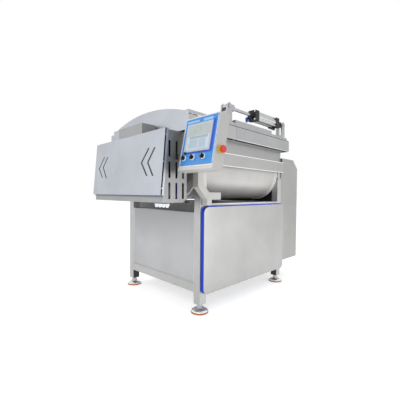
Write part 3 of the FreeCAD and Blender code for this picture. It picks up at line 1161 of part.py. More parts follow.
def make_pump():
    """Vacuum pump on the floor tray: finned oil case, motor and inlet flange."""
    floor = BOTTOM_RAIL + POST + SHEET
    x0, y0, wall = PUMP_X, PUMP_Y, PUMP_WALL
    x1, y1 = x0 + PUMP_LENGTH, y0 + PUMP_WIDTH
    low, high = floor + PUMP_FOOT, floor + PUMP_FOOT + PUMP_HEIGHT
    middle, axis = (y0 + y1) / 2, (low + high) / 2 - wall
    case = block(x0, x1, y0, y1, low, high)
    room = block(x0 + wall, x1 - wall, y0 + wall, y1 - wall, low + wall, high - wall)
    pitch = (PUMP_LENGTH - PUMP_FOOT) / PUMP_FIN_COUNT
    fins = [block(x0 + PUMP_FOOT / 2 + i * pitch, x0 + PUMP_FOOT / 2 + i * pitch + wall / 2,
                  y0 - PUMP_FIN, y1 + PUMP_FIN, low + 2 * wall, high - 2 * wall)
            for i in range(PUMP_FIN_COUNT)]
    feet = [block(x, x + PUMP_FOOT, y0 - PUMP_FIN, y1 + PUMP_FIN, floor, low)
            for x in (x0 + wall, x1 - wall - PUMP_FOOT)]
    end = x1 + PUMP_MOTOR_LENGTH
    motor = rod(PUMP_MOTOR_RADIUS, (x1, middle, axis), (end, middle, axis))
    core = rod(PUMP_MOTOR_CORE, (x1 + wall, middle, axis), (end - wall, middle, axis))
    shoe = block(x1 + PUMP_MOTOR_CORE, end - PUMP_MOTOR_CORE, middle - PUMP_MOTOR_CORE,
                 middle + PUMP_MOTOR_CORE, floor, axis - PUMP_MOTOR_CORE + wall)
    inlet = rod(PORT_RADIUS + PORT_WALL, (x0 + PUMP_MOTOR_CORE, middle, high),
                (x0 + PUMP_MOTOR_CORE, middle, high + PUMP_INLET))
    save("vacuum_pump", fuse(case, motor, shoe, inlet, *fins, *feet).cut(room).cut(core))


make_frame()
make_panels()
make_feet()
make_trough()
make_hood()
make_linkage()
make_lid()
make_pivot()
make_drive_box()
make_motors()
make_chains()
make_shafts()
make_cabinet()
make_console()
make_arm()
make_pump()
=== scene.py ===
import math

import bpy
from mathutils import Matrix, Vector


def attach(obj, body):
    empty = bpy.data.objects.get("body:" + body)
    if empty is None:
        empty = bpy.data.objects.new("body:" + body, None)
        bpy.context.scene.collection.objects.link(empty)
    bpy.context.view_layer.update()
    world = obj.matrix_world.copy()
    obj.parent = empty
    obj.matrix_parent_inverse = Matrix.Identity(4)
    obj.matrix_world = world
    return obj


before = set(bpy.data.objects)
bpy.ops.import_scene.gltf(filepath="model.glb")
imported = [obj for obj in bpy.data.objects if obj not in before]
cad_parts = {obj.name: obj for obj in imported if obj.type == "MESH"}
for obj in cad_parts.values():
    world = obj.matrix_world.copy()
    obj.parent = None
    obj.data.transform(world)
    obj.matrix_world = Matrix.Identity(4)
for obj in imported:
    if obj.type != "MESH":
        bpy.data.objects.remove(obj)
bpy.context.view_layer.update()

# Places are given in machine millimetres: X along the trough, Y across it, Z up,
# zero at the near left corner of the base on the floor.
MIDDLE = Vector((536.25, 303.35, 0.0))
CHAIN_PITCH = 19.05
SHAFT_YS = (235.0, 665.0)
SHAFT_Z = 1005.0
MOTOR_X, MOTOR_Z = -225.0, 842.0
POST_XS = (30.0, 1040.0)
POST_YS = (30.0, 870.0)
DEPTH = 900.0
PUMP_Y, PUMP_Z = 380.0, 350.0
CYLINDER_Y, CYLINDER_Z = 14.0, 1466.0
UP = Vector((0.0, 0.0, 1.0))


def at(x, y, z):
    """Machine millimetres to row metres."""
    return (Vector((x, y, z)) - MIDDLE) / 1000.0


# Materials

def new_material(name):
    """Empty node material: its tree, its shader and an object coordinate."""
    made = bpy.data.materials.new(name)
    made.use_nodes = True
    tree = made.node_tree
    shader = tree.nodes["Principled BSDF"]
    place = tree.nodes.new("ShaderNodeTexCoord").outputs["Object"]
    return made, tree, shader, place


def noise(tree, place, scale, detail=3.0, stretch=(1.0, 1.0, 1.0), roughness=0.55):
    """Noise over stretched object coordinates."""
    mapping = tree.nodes.new("ShaderNodeMapping")
    mapping.inputs["Scale"].default_value = stretch
    tree.links.new(place, mapping.inputs["Vector"])
    node = tree.nodes.new("ShaderNodeTexNoise")
    node.inputs["Scale"].default_value = scale
    node.inputs["Detail"].default_value = detail
    node.inputs["Roughness"].default_value = roughness
    tree.links.new(mapping.outputs["Vector"], node.inputs["Vector"])
    return node.outputs["Fac"]


def spread(tree, value, low, high, start=0.3, end=0.7):
    """Maps a value between two ends."""
    node = tree.nodes.new("ShaderNodeMapRange")
    node.inputs["From Min"].default_value = start
    node.inputs["From Max"].default_value = end
    node.inputs["To Min"].default_value = low
    node.inputs["To Max"].default_value = high
    tree.links.new(value, node.inputs["Value"])
    return node.outputs["Result"]


# The Mix node's sockets for colours have no names of their own.
FIRST_COLOUR, SECOND_COLOUR, MIXED_COLOUR = 6, 7, 2


def mixed(tree, factor, first, second):
    """Colour between two, by a factor."""
    node = tree.nodes.new("ShaderNodeMix")
    node.data_type = "RGBA"
    tree.links.new(factor, node.inputs["Factor"])
    for number, colour in ((FIRST_COLOUR, first), (SECOND_COLOUR, second)):
        socket = node.inputs[number]
        if isinstance(colour, tuple):
            socket.default_value = (*colour, 1.0)
        else:
            tree.links.new(colour, socket)
    return node.outputs[MIXED_COLOUR]


def bump(tree, shader, height, strength, distance):
    """Bump from a height onto the shader."""
    node = tree.nodes.new("ShaderNodeBump")
    node.inputs["Strength"].default_value = strength
    node.inputs["Distance"].default_value = distance
    tree.links.new(height, node.inputs["Height"])
    tree.links.new(node.outputs["Normal"], shader.inputs["Normal"])


def share_along(tree, output, axis, low, high):
    """Share from 0 to 1 of one axis of a vector between two ends."""
    split = tree.nodes.new("ShaderNodeSeparateXYZ")
    tree.links.new(output, split.inputs["Vector"])
    return spread(tree, split.outputs[axis], 0.0, 1.0, low, high)


def painted_side_shading(tree, tone, colour, near):
    """Painted light or shade: another colour, or a share of this one, on faces toward -Y and the given tone
    elsewhere.
    """
    facing = tree.nodes.new("ShaderNodeTexCoord").outputs["Normal"]
    other = near if isinstance(near, tuple) else tuple(c * near for c in colour)
    return mixed(tree, share_along(tree, facing, "Y", -0.9, -0.6), other, tone)


def sheet_metal(name, colour, rough, stretch, grain=900.0, metallic=0.92, mark=0.05, depth=0.12,
                painted_height_shade=None, near=None):
    """Stainless sheet: fine grain, cloudy wear, wiped marks; painted shade darker with height, and painted
    light or shade on -Y faces.
    """
    made, tree, shader, place = new_material(name)
    fine = noise(tree, place, grain, 2.0, stretch)
    cloud = noise(tree, place, 3.2, 4.0)
    wipe = noise(tree, place, 16.0, 6.0, (1.0, 1.0, 0.35), 0.7)
    dark = tuple(c * (1.0 - mark * 2.2) for c in colour)
    tone = mixed(tree, spread(tree, cloud, 0.0, 1.0, 0.35, 0.65), dark, colour)
    lighter = tuple(min(1.0, c * (1.0 + mark)) for c in colour)
    tone = mixed(tree, spread(tree, wipe, 0.0, 0.55, 0.55, 0.75), tone, lighter)
    # Painted shade: the tone darkens with height by the given share.
    if painted_height_shade:
        low, high, share = painted_height_shade
        shaded = tuple(c * share for c in colour)
        tone = mixed(tree, share_along(tree, place, "Z", low, high), tone, shaded)
    # Painted light or shade on faces toward -Y.
    if near:
        tone = painted_side_shading(tree, tone, colour, near)
    tree.links.new(tone, shader.inputs["Base Color"])
    total = tree.nodes.new("ShaderNodeMath")
    total.operation = "ADD"
    tree.links.new(spread(tree, fine, rough - 0.06, rough + 0.06), total.inputs[0])
    tree.links.new(spread(tree, wipe, -0.03, 0.06), total.inputs[1])
    tree.links.new(total.outputs[0], shader.inputs["Roughness"])
    shader.inputs["Metallic"].default_value = metallic
    bump(tree, shader, fine, depth, 0.0003)
    return made


def turned_metal(name, colour, rough, grain=260.0):
    """Machined steel with fine tool lines and a little oil."""
    made, tree, shader, place = new_material(name)
    lines = noise(tree, place, grain, 2.0, (1.0, 6.0, 6.0))
    film = noise(tree, place, 22.0, 4.0)
    tone = mixed(tree, spread(tree, film, 0.0, 1.0), tuple(c * 0.86 for c in colour), colour)
    tree.links.new(tone, shader.inputs["Base Color"])
    tree.links.new(spread(tree, film, rough - 0.05, rough + 0.09), shader.inputs["Roughness"])
    shader.inputs["Metallic"].default_value = 1.0
    bump(tree, shader, lines, 0.08, 0.0002)
    return made


def coated(name, colour, rough, grain=320.0, depth=0.1, wear=0.12, coat=0.0, metallic=0.0, near=None):
    """Paint, plastic or rubber: tone and roughness drift, fine texture; near is the share of painted shade on
    the -Y faces.
    """
    made, tree, shader, place = new_material(name)
    peel = noise(tree, place, grain, 2.0)
    drift = noise(tree, place, 9.0, 5.0)
    tone = mixed(tree, spread(tree, drift, 0.0, 1.0), tuple(c * (1.0 - wear) for c in colour), colour)
    # Painted shade on faces toward -Y.
    if near:
        tone = painted_side_shading(tree, tone, colour, near)
    tree.links.new(tone, shader.inputs["Base Color"])
    tree.links.new(spread(tree, drift, rough - 0.05, rough + 0.08), shader.inputs["Roughness"])
    shader.inputs["Coat Weight"].default_value = coat
    shader.inputs["Metallic"].default_value = metallic
    bump(tree, shader, peel, depth, 0.0004)
    return made


# Apart from grain and wear, the stainless finishes (stainless, panel, left sheet, collar, tank, rim, cabinet,
# box, hood, lid and cover sheet) are one steel in lit and shaded copies: their base tones differ part by part
# as painted light and painted shade.
STEEL = (0.464, 0.462, 0.456)
MATERIALS = {
    # Painted light: faces toward -Y are lighter.
    "stainless": sheet_metal("stainless", STEEL, 0.40, (1.0, 1.0, 1.0), 1100.0, near=1.07),
    "panel": sheet_metal("panel", (0.468, 0.465, 0.458), 0.42, (0.12, 0.12, 2.2), 600.0),
    # Painted shade: the left sheet darkens towards its top, under the drive box.
    "left_sheet": sheet_metal("left_sheet", (0.458, 0.46, 0.462), 0.42, (0.12, 0.12, 2.2), 600.0,
                              painted_height_shade=(0.42, 0.69, 0.76)),
    # Painted shade: the collar is a darker copy of the steel, for the shade under the lid skirt.
    "collar_steel_shaded": sheet_metal("collar_steel_shaded", (0.41, 0.41, 0.41), 0.38, (0.1, 2.0, 2.0), 700.0),
    # Painted highlight: near-white steel for bright lines along edges and seams.
    "painted_highlight": sheet_metal("painted_highlight", (0.92, 0.92, 0.91), 0.4, (0.3, 1.0, 1.0), 500.0, 0.3, 0.04),
    # Painted light: the inner bay sheets glow a little.
    "galvanised_glow": sheet_metal("galvanised_glow", (0.62, 0.63, 0.64), 0.55, (2.0, 2.0, 1.0), 60.0, 0.25, 0.22, 0.4),
    "tank_steel": sheet_metal("tank_steel", (0.53, 0.522, 0.502), 0.5, (0.1, 2.0, 2.0), 700.0, 0.5),
    "rim_steel": sheet_metal("rim_steel", (0.445, 0.443, 0.438), 0.38, (0.1, 2.0, 2.0), 700.0),
    "cabinet_steel": sheet_metal("cabinet_steel", (0.412, 0.409, 0.399), 0.42, (2.0, 2.0, 0.1), 800.0),
    # Painted shade: a darker copy of the steel, darker still on faces toward -Y.
    "box_steel_shaded": sheet_metal("box_steel_shaded", (0.36, 0.36, 0.359), 0.42, (1.0, 1.0, 1.0), 1000.0, 0.8, near=0.76),
    # Painted shade: faces toward -Y take a darker grey.
    "hood_steel": sheet_metal("hood_steel", (0.475, 0.492, 0.525), 0.40, (1.0, 1.0, 1.0), 1000.0,
                              near=(0.435, 0.438, 0.443)),
    "lid_steel": sheet_metal("lid_steel", (0.44, 0.443, 0.448), 0.40, (1.0, 1.0, 1.0), 1000.0),
    "cover_sheet": sheet_metal("cover_sheet", (0.472, 0.490, 0.530), 0.42, (2.0, 0.08, 2.0), 700.0),
    "polished": turned_metal("polished", (0.88, 0.88, 0.87), 0.13),
    "leg_shade": coated("leg_shade", (0.035, 0.035, 0.036), 0.5, 300.0, 0.1),
    "machined_steel": turned_metal("machined_steel", (0.47, 0.475, 0.48), 0.22),
    "chain_steel": turned_metal("chain_steel", (0.22, 0.21, 0.2), 0.34),
    "weld": sheet_metal("weld", (0.56, 0.55, 0.53), 0.34, (1.0, 1.0, 1.0), 420.0, 0.95, 0.1, 0.3),
    "blue_rubber": coated("blue_rubber", (0.005, 0.05, 0.60), 0.6),
    "orange_rubber": coated("orange_rubber", (0.62, 0.2, 0.045), 0.62, 240.0, 0.2, 0.25),
    "black_rubber": coated("black_rubber", (0.014, 0.014, 0.015), 0.6, 260.0, 0.2),
    "console_paint": coated("console_paint", (0.585, 0.575, 0.55), 0.42, 420.0, 0.06, 0.06, metallic=0.25),
    # Painted light and shade: a lighter copy of the console paint, with painted shade on faces toward -Y.
    "console_paint_lit_copy": coated("console_paint_lit_copy", (0.66, 0.652, 0.625), 0.42, 420.0, 0.06, 0.06, metallic=0.25,
                            near=0.72),
    # Painted light: the white glands glow a little.
    "gland_white_glow": coated("gland_white_glow", (0.95, 0.95, 0.94), 0.4, 500.0, 0.05, 0.04),
    "ring_chrome": coated("ring_chrome", (0.9, 0.9, 0.9), 0.2, 500.0, 0.02, 0.04, 0.4, metallic=0.35),
    "blue_face": coated("blue_face", (0.033, 0.275, 0.715), 0.34, 500.0, 0.03, 0.08, 0.3),
    "deep_blue": coated("deep_blue", (0.006, 0.09, 0.62), 0.45, 500.0, 0.03, 0.08, 0.2),
    "screen_bezel": coated("screen_bezel", (0.56, 0.585, 0.62), 0.38, 500.0, 0.05, 0.08),
    "black_plastic": coated("black_plastic", (0.008, 0.008, 0.01), 0.38, 420.0, 0.1),
    "yellow_plastic": coated("yellow_plastic", (0.85, 0.56, 0.02), 0.32, 500.0, 0.04, 0.06, 0.3),
    "red_plastic": coated("red_plastic", (0.70, 0.014, 0.02), 0.30, 500.0, 0.04, 0.08, 0.4),
    "white_plastic": coated("white_plastic", (0.78, 0.78, 0.75), 0.42, 500.0, 0.05, 0.06),
    "pale_label": coated("pale_label", (0.36, 0.58, 0.86), 0.5, 500.0, 0.02, 0.04),
    "screen_header": coated("screen_header", (0.50, 0.55, 0.52), 0.3, 500.0, 0.01, 0.1, 0.5),
    "screen_band": coated("screen_band", (0.40, 0.44, 0.54), 0.3, 500.0, 0.01, 0.1, 0.5),
    "screen_page": coated("screen_page", (0.46, 0.56, 0.64), 0.3, 500.0, 0.01, 0.1, 0.5),
    "motor_blue": coated("motor_blue", (0.02, 0.05, 0.30), 0.36, 200.0, 0.18, 0.15, 0.3),
    "cast_paint": coated("cast_paint", (0.16, 0.18, 0.20), 0.42, 160.0, 0.3, 0.15, 0.1),
    "anodised": sheet_metal("anodised", (0.70, 0.705, 0.70), 0.32, (0.08, 2.0, 2.0), 700.0),
    "black_anodised": coated("black_anodised", (0.005, 0.005, 0.006), 0.5, 300.0, 0.08),
    "print": coated("print", (0.012, 0.012, 0.02), 0.5, 300.0, 0.02, 0.1),
    "brass": turned_metal("brass", (0.62, 0.44, 0.18), 0.28),
}


def lifted(name, colour, strength):
    """Adds a little light of its own to a finish that lies in deep shade."""
    shader = MATERIALS[name].node_tree.nodes["Principled BSDF"]
    shader.inputs["Emission Color"].default_value = (*colour, 1.0)
    shader.inputs["Emission Strength"].default_value = strength


# Painted light: a glow on the inner bay sheets and on the cable glands.
lifted("galvanised_glow", (1.0, 1.0, 1.0), 0.07)
lifted("gland_white_glow", (1.0, 1.0, 1.0), 0.28)


def screen_material():
    """Lit operator screen behind glass, in plain bands without signs."""
    made, tree, shader, place = new_material("screen_glass")
    drift = noise(tree, place, 26.0, 2.0)
    tone = mixed(tree, spread(tree, drift, 0.0, 1.0), (0.44, 0.56, 0.62), (0.54, 0.65, 0.70))
    tree.links.new(tone, shader.inputs["Base Color"])
    tree.links.new(tone, shader.inputs["Emission Color"])
    shader.inputs["Emission Strength"].default_value = 0.16
    tree.links.new(spread(tree, drift, 0.07, 0.14), shader.inputs["Roughness"])
    shader.inputs["Coat Weight"].default_value = 0.6
    return made


MATERIALS["screen_glass"] = screen_material()


# Finish and softened edges of the CAD nodes

# Degrees: faces merge under the first, edges stay sharp over the second and are rounded over the third.
FLAT_ANGLE, SHARP_ANGLE, BEVEL_ANGLE = 0.4, 28.0, 32.0
SOFT_EDGE = 0.0012


def smooth_group():
    """Node group that smooths faces and keeps edges over a limit sharp."""
    group = bpy.data.node_groups.new("smooth_by_angle", "GeometryNodeTree")
    group.interface.new_socket("Geometry", in_out="INPUT", socket_type="NodeSocketGeometry")
    group.interface.new_socket("Geometry", in_out="OUTPUT", socket_type="NodeSocketGeometry")
    start = group.nodes.new("NodeGroupInput")
    end = group.nodes.new("NodeGroupOutput")
    faces = group.nodes.new("GeometryNodeSetShadeSmooth")
    edges = group.nodes.new("GeometryNodeSetShadeSmooth")
    edges.domain = "EDGE"
    edges.inputs["Shade Smooth"].default_value = False
    angle = group.nodes.new("GeometryNodeInputMeshEdgeAngle")
    over = group.nodes.new("FunctionNodeCompare")
    over.operation = "GREATER_THAN"
    over.inputs["B"].default_value = math.radians(SHARP_ANGLE)
    group.links.new(angle.outputs["Unsigned Angle"], over.inputs["A"])
    group.links.new(over.outputs["Result"], edges.inputs["Selection"])
    group.links.new(start.outputs[0], faces.inputs["Geometry"])
    group.links.new(faces.outputs["Geometry"], edges.inputs["Geometry"])
    group.links.new(edges.outputs["Geometry"], end.inputs[0])
    return group


SMOOTH = smooth_group()

# Pieces with flat faces that run all round a hole: a dissolve would close the hole.
RINGED = {"collar", "service_cover", "vacuum_pump", "lid", "drive_standoffs", "frame_rails"}


def soften(obj, width, weld_first=False):
    """Welds, smooths by angle and rounds the sharp edges of a piece."""
    if weld_first:
        weld = obj.modifiers.new("weld", "WELD")
        weld.merge_threshold = 0.00001
    if weld_first and obj.name not in RINGED:
        plane = obj.modifiers.new("plane", "DECIMATE")
        plane.decimate_type = "DISSOLVE"
        plane.angle_limit = math.radians(FLAT_ANGLE)
    shade = obj.modifiers.new("shade", "NODES")
    shade.node_group = SMOOTH
    if width > 0:
        edge = obj.modifiers.new("edge", "BEVEL")
        edge.width = width
        edge.segments = 2
        edge.limit_method = "ANGLE"
        edge.angle_limit = math.radians(BEVEL_ANGLE)
        edge.harden_normals = True
        edge.use_clamp_overlap = True
        edge.miter_outer = "MITER_ARC"


FINISH = {
    "stainless": ("frame_rails", "post_far_left", "post_far_right", "post_near_left",
                  "post_near_right", "floor_tray"),
    "cabinet_steel": ("cabinet_shell", "cabinet_door"),
    "box_steel_shaded": ("drive_box", "drive_box_hump"),
    "panel": ("far_panel", "service_cover"),
    "left_sheet": ("left_panel",),
    "collar_steel_shaded": ("collar",),
    "tank_steel": ("trough_shell", "end_plate_left", "end_plate_right", "drive_plate",
                   "drive_standoffs", "rest_blocks"),
    "rim_steel": ("rim_channel",),
    "hood_steel": ("hood", "rod_bracket"),
    "lid_steel": ("lid", "cylinder_lug"),
    "cover_sheet": ("drive_box_cover",),
    "machined_steel": ("mixing_shaft_near", "mixing_shaft_far", "trunnions", "hood_pins",
                       "lug_pins", "piston_rod", "bearing_housings", "pillow_blocks",
                       "vacuum_port", "foot_cups", "pinion_near", "pinion_far"),
    "ring_chrome": ("selector_rings",),
    "blue_rubber": ("service_cover_seal",),
    "orange_rubber": ("foot_pads",),
    "black_rubber": ("rest_pads", "collar_gasket"),
    "console_paint": ("console_arm",),
    "console_paint_lit_copy": ("console_housing",),
    "blue_face": ("console_face",),
    "screen_bezel": ("screen_frame",),
    "screen_glass": ("screen_glass",),
    "black_plastic": ("selector_left", "selector_middle", "selector_right"),
    "yellow_plastic": ("estop_ring",),
    "red_plastic": ("estop_head",),
    "gland_white_glow": ("cable_glands",),
    "motor_blue": ("gear_motors",),
    "cast_paint": ("vacuum_pump", "tilt_gearbox"),
    "anodised": ("cylinder_barrel",),
    "black_anodised": ("cylinder_caps",),
    "chain_steel": ("drive_chains",),
}
ROUNDED = {"console_housing": 0.006, "console_arm": 0.005, "service_cover": 0.002,
           "cabinet_shell": 0.003, "hood": 0.0014, "lid": 0.0014,
           "rim_channel": 0.0014, "collar": 0.0014,
           "foot_pads": 0.002, "screen_glass": 0.0004, "drive_chains": 0.0, "estop_head": 0.0,
           "mixing_shaft_near": 0.001, "mixing_shaft_far": 0.001, "gear_motors": 0.003,
           "vacuum_pump": 0.003, "tilt_gearbox": 0.003, "console_face": 0.0008}


def dress_nodes():
    """Gives each CAD node its finish and softened edges."""
    for look, nodes in FINISH.items():
        for name in nodes:
            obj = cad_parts[name]
            obj.data.materials.clear()
            obj.data.materials.append(MATERIALS[look])
            if "custom_normal" in obj.data.attributes:
                obj.data.attributes.remove(obj.data.attributes["custom_normal"])
            soften(obj, ROUNDED.get(name, SOFT_EDGE), weld_first=True)


# Mesh building

def basis(direction):
    """Two unit vectors square to a direction."""
    d = Vector(direction).normalized()
    other = Vector((0, 0, 1)) if abs(d.z) < 0.9 else Vector((1, 0, 0))
    side = d.cross(other).normalized()
    return side, d.cross(side).normalized(), d


def lathe(start, direction, outline, sides=32):
    """Turned body: outline is (distance along, radius) pairs from the start point."""
    u, v, d = basis(direction)
    origin = Vector(start)
    points, faces = [], []
    for along, radius in outline:
        for i in range(sides):
            a = 2 * math.pi * i / sides
            points.append(origin + d * along + (u * math.cos(a) + v * math.sin(a)) * radius)
    for ring in range(len(outline) - 1):
        for i in range(sides):
            j = (i + 1) % sides
            low, high = ring * sides, (ring + 1) * sides
            faces.append((low + i, low + j, high + j, high + i))
    faces.append(tuple(reversed(range(sides))))
    top = (len(outline) - 1) * sides
    faces.append(tuple(range(top, top + sides)))
    return points, faces


def bar(start, end, radius, sides=24):
    """Round bar between two points."""
    run = Vector(end) - Vector(start)
    return lathe(start, run, [(0, radius), (run.length, radius)], sides)


def brick(x0, x1, y0, y1, z0, z1):
    """Box between two machine corners."""
    low, high = at(x0, y0, z0), at(x1, y1, z1)
    points = [Vector((x, y, z)) for z in (low.z, high.z) for y in (low.y, high.y)
              for x in (low.x, high.x)]
    faces = [(0, 2, 3, 1), (4, 5, 7, 6), (0, 1, 5, 4), (2, 6, 7, 3), (0, 4, 6, 2), (1, 3, 7, 5)]
    return points, faces


def plate(corners, normal, thickness):
    """Flat outline given a thickness along its normal."""
    push = Vector(normal).normalized() * thickness
    low = [Vector(c) for c in corners]
    count = len(low)
    points = low + [c + push for c in low]
    faces = [tuple(reversed(range(count))), tuple(range(count, 2 * count))]
    for i in range(count):
        j = (i + 1) % count
        faces.append((i, j, count + j, count + i))
    return points, faces


def socket_screw(place, direction, radius, height):
    """Cap screw with a hexagon recess, whose two loops have a negative reach."""
    u, v, d = basis(direction)
    origin = Vector(place)
    sides = 24
    points, faces = [], []

    def loop(along, reach):
        for i in range(sides):
            a = 2 * math.pi * i / sides
            r = reach
            if reach < 0:
                step = (a + math.pi / 6) % (math.pi / 3) - math.pi / 6
                r = -reach * math.cos(math.pi / 6) / math.cos(step)
            points.append(origin + d * along + (u * math.cos(a) + v * math.sin(a)) * r)

    for along, reach in ((0, radius), (height * 0.88, radius), (height, radius * 0.88),
                         (height, -radius * 0.56), (height * 0.35, -radius * 0.56)):
        loop(along, reach)
    for ring in range(4):
        for i in range(sides):
            j = (i + 1) % sides
            faces.append((ring * sides + i, ring * sides + j, (ring + 1) * sides + j,
                          (ring + 1) * sides + i))
    faces.append(tuple(range(4 * sides, 5 * sides)))
    faces.append(tuple(reversed(range(sides))))
    return points, faces


def hex_bolt(place, direction, radius, height, washer=True):
    """Hexagon head on a washer, with a chamfered top."""
    u, v, d = basis(direction)
    origin = Vector(place)
    lift = radius * 0.18 if washer else 0.0
    points, faces = [], []
    for along, reach in ((lift, radius), (lift + height * 0.82, radius),
                         (lift + height, radius * 0.86)):
        for i in range(6):
            a = math.pi / 3 * i
            points.append(origin + d * along + (u * math.cos(a) + v * math.sin(a)) * reach)
    for ring in range(2):
        for i in range(6):
            j = (i + 1) % 6
            faces.append((ring * 6 + i, ring * 6 + j, ring * 6 + 6 + j, ring * 6 + 6 + i))
    faces.append(tuple(range(12, 18)))
    faces.append(tuple(reversed(range(6))))
    parts = [(points, faces)]
    if washer:
        parts.append(lathe(place, direction, [(0, radius * 1.35), (lift, radius * 1.35)], 24))
    return joined(parts)


def joined(parts):
    """One point and face list from several."""
    points, faces = [], []
    for more, rows in parts:
        base = len(points)
        points.extend(more)
        faces.extend(tuple(base + i for i in row) for row in rows)
    return points, faces


def bead(path, radius, ripple=0.16, step=0.003, closed=False):
    """Weld bead along a path, its thickness rippled."""
    line = [Vector(p) for p in path]
    if closed:
        line.append(line[0])
    places = []
    for a, b in zip(line, line[1:]):
        count = max(1, int((b - a).length / step))
        places.extend(a.lerp(b, i / count) for i in range(count))
    places.append(line[-1])
    points, faces = [], []
    sides = 6
    travelled = 0.0
    for i, p in enumerate(places):
        ahead = places[min(i + 1, len(places) - 1)] - places[max(i - 1, 0)]
        u, v, _ = basis(ahead if ahead.length > 1e-9 else Vector((1, 0, 0)))
        if i:
            travelled += (p - places[i - 1]).length
        r = radius * (1 + ripple * math.sin(travelled / step * 2.1))
        for k in range(sides):
            a = 2 * math.pi * k / sides
            points.append(p + (u * math.cos(a) + v * math.sin(a)) * r)
    for i in range(len(places) - 1):
        for k in range(sides):
            j = (k + 1) % sides
            faces.append((i * sides + k, i * sides + j, (i + 1) * sides + j, (i + 1) * sides + k))
    return points, faces


def piece(name, body, look, parts, round_edge=0.0):
    """One shown piece from point and face lists, riding on a body."""
    points, faces = joined(parts)
    mesh = bpy.data.meshes.new(name)
    mesh.from_pydata([tuple(p) for p in points], [], faces)
    mesh.validate()
    mesh.materials.append(MATERIALS[look])
    obj = bpy.data.objects.new(name, mesh)
    bpy.context.scene.collection.objects.link(obj)
    soften(obj, round_edge)
    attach(obj, body)


# Console

FACE_LOW = Vector((-238.0, 0.0, 978.0))
FACE_HIGH = Vector((-178.0, 0.0, 1265.0))
SLOPE = (FACE_HIGH - FACE_LOW).normalized()
OUT = Vector((-SLOPE.z, 0.0, SLOPE.x))
SELECTORS = {"left": -88, "middle": -161, "right": -245}
SELECTOR_UP = 50


def on_face(along, up, out=0.0):
    """Row point on the console face: along Y, up the slope, out of it."""
    p = FACE_LOW + SLOPE * up + OUT * out
    return at(p.x, along, p.z)


def face_patch(near, far, low, high, out, thickness, corner=0.0):
    """Plate lying on the console face, its corners rounded."""
    flat = [(near, low), (far, low), (far, high), (near, high)]
    if corner:
        flat = rounded(near, far, low, high, corner)
    corners = [on_face(a, b, out) for a, b in flat]
    return plate(corners, OUT, thickness / 1000.0)


def rounded(x0, x1, y0, y1, corner, steps=5):
    """Outline of a rectangle with round corners."""
    flat = []
    for cx, cy, start in ((x1 - corner, y0 + corner, -90), (x1 - corner, y1 - corner, 0),
                          (x0 + corner, y1 - corner, 90), (x0 + corner, y0 + corner, 180)):
        for i in range(steps + 1):
            a = math.radians(start + 90.0 * i / steps)
            flat.append((cx + corner * math.cos(a), cy + corner * math.sin(a)))
    return flat


def face_frame(near, far, low, high, band, out, thickness, corner):
    """Rounded frame of one band's width on the console face."""
    outer = rounded(near, far, low, high, corner)
    inner = rounded(near + band, far - band, low + band, high - band, max(corner - band, 1.0))
    count = len(outer)
    rings = [(outer, out), (outer, out + thickness), (inner, out + thickness), (inner, out)]
    points = [on_face(a, b, o) for flat, o in rings for a, b in flat]
    faces = []
    for r in range(4):
        for i in range(count):
            j = (i + 1) % count
            n = (r + 1) % 4
            faces.append((r * count + i, r * count + j, n * count + j, n * count + i))
    return points, faces


def dress_console():
    """Trim on the console: screen border of painted shade, bare label fields, screws, lens, screen fields."""
    # Painted shade: a dark blue L along the near and low sides of the screen.
    border = [(-288, 83), (-288, 262), (-306, 262), (-306, 80), (-300, 73), (-100, 73), (-92, 83)]
    piece("console_screen_shade_border", "base", "deep_blue",
          [plate([on_face(a, b) for a, b in border], OUT, 0.001)])
    labels = [face_patch(*edges, 0.0, 0.4, corner) for edges, corner in (
        ((-173, -70, 264, 276), 2), ((-280, -206, 262, 277), 2), ((-176, -148, 67, 71), 0))]
    piece("console_label_fields", "base", "pale_label", labels)
    screws = []
    for y in (-318, -62):
        for up in (10, 283):
            screws.append(socket_screw(on_face(y, up), OUT, 0.0042, 0.0022))
    piece("console_screws", "base", "machined_steel", screws)
    piece("screen_header", "base", "screen_header", [face_patch(-273, -97, 178, 239, 5.0, 0.25)])
    piece("screen_band", "base", "screen_band", [face_patch(-262, -116, 160, 175, 5.0, 0.3)])
    piece("screen_page", "base", "screen_page", [face_patch(-250, -194, 104, 156, 5.0, 0.3, 3),
                                                 face_patch(-188, -120, 104, 156, 5.0, 0.3, 3)])
    for label, y in SELECTORS.items():
        piece("selector_mark_%s" % label, "%s_selector" % label, "white_plastic",
              [face_patch(y - 1.2, y + 1.2, 52, 62, 22.0, 0.35)])
    rings = [lathe(on_face(y, SELECTOR_UP), OUT, [(0, 0.0172), (0.002, 0.0172), (0.0035, 0.016)], 32)
             for y in SELECTORS.values()]
    piece("selector_bezels", "base", "ring_chrome", rings)
    # Painted highlight: a bright line round the console face.
    edge = face_frame(-321, -59, -2, 295, band=3.0, out=0.0, thickness=1.0, corner=2.0)
    piece("console_face_edge_highlight", "base", "painted_highlight", [edge])
    buzzer = [lathe(on_face(-94, 80), OUT, [(0, 0.0085), (0.007, 0.0085), (0.009, 0.006)], 24)]
    piece("console_sounder", "base", "black_plastic", buzzer)


# Machine details

# The drive cover leans back from its low edge to its high one (X, Z); print stands just in front.
COVER_LOW, COVER_HIGH = (-337.0, 808.0), (-303.0, 1211.0)
PRINT_GAP = 0.35


def cover_x(z):
    """X of the drive cover's outer face at a height."""
    run, rise = COVER_HIGH[0] - COVER_LOW[0], COVER_HIGH[1] - COVER_LOW[1]
    return COVER_LOW[0] + run * (z - COVER_LOW[1]) / rise


def chevron(tip, top, bottom, width):
    """One printed angle stroke on the drive cover, from cover points (Y, Z)."""
    def cover(y, z):
        return at(cover_x(z) - PRINT_GAP, y, z)

    (ty, tz), (ay, az), (by, bz) = tip, top, bottom
    corners = [cover(ay, az), cover(ay - width, az), cover(ty - width, tz), cover(by - width, bz),
               cover(by, bz), cover(ty, tz)]
    return plate(corners, (-1, 0, 0.084), 0.00025)


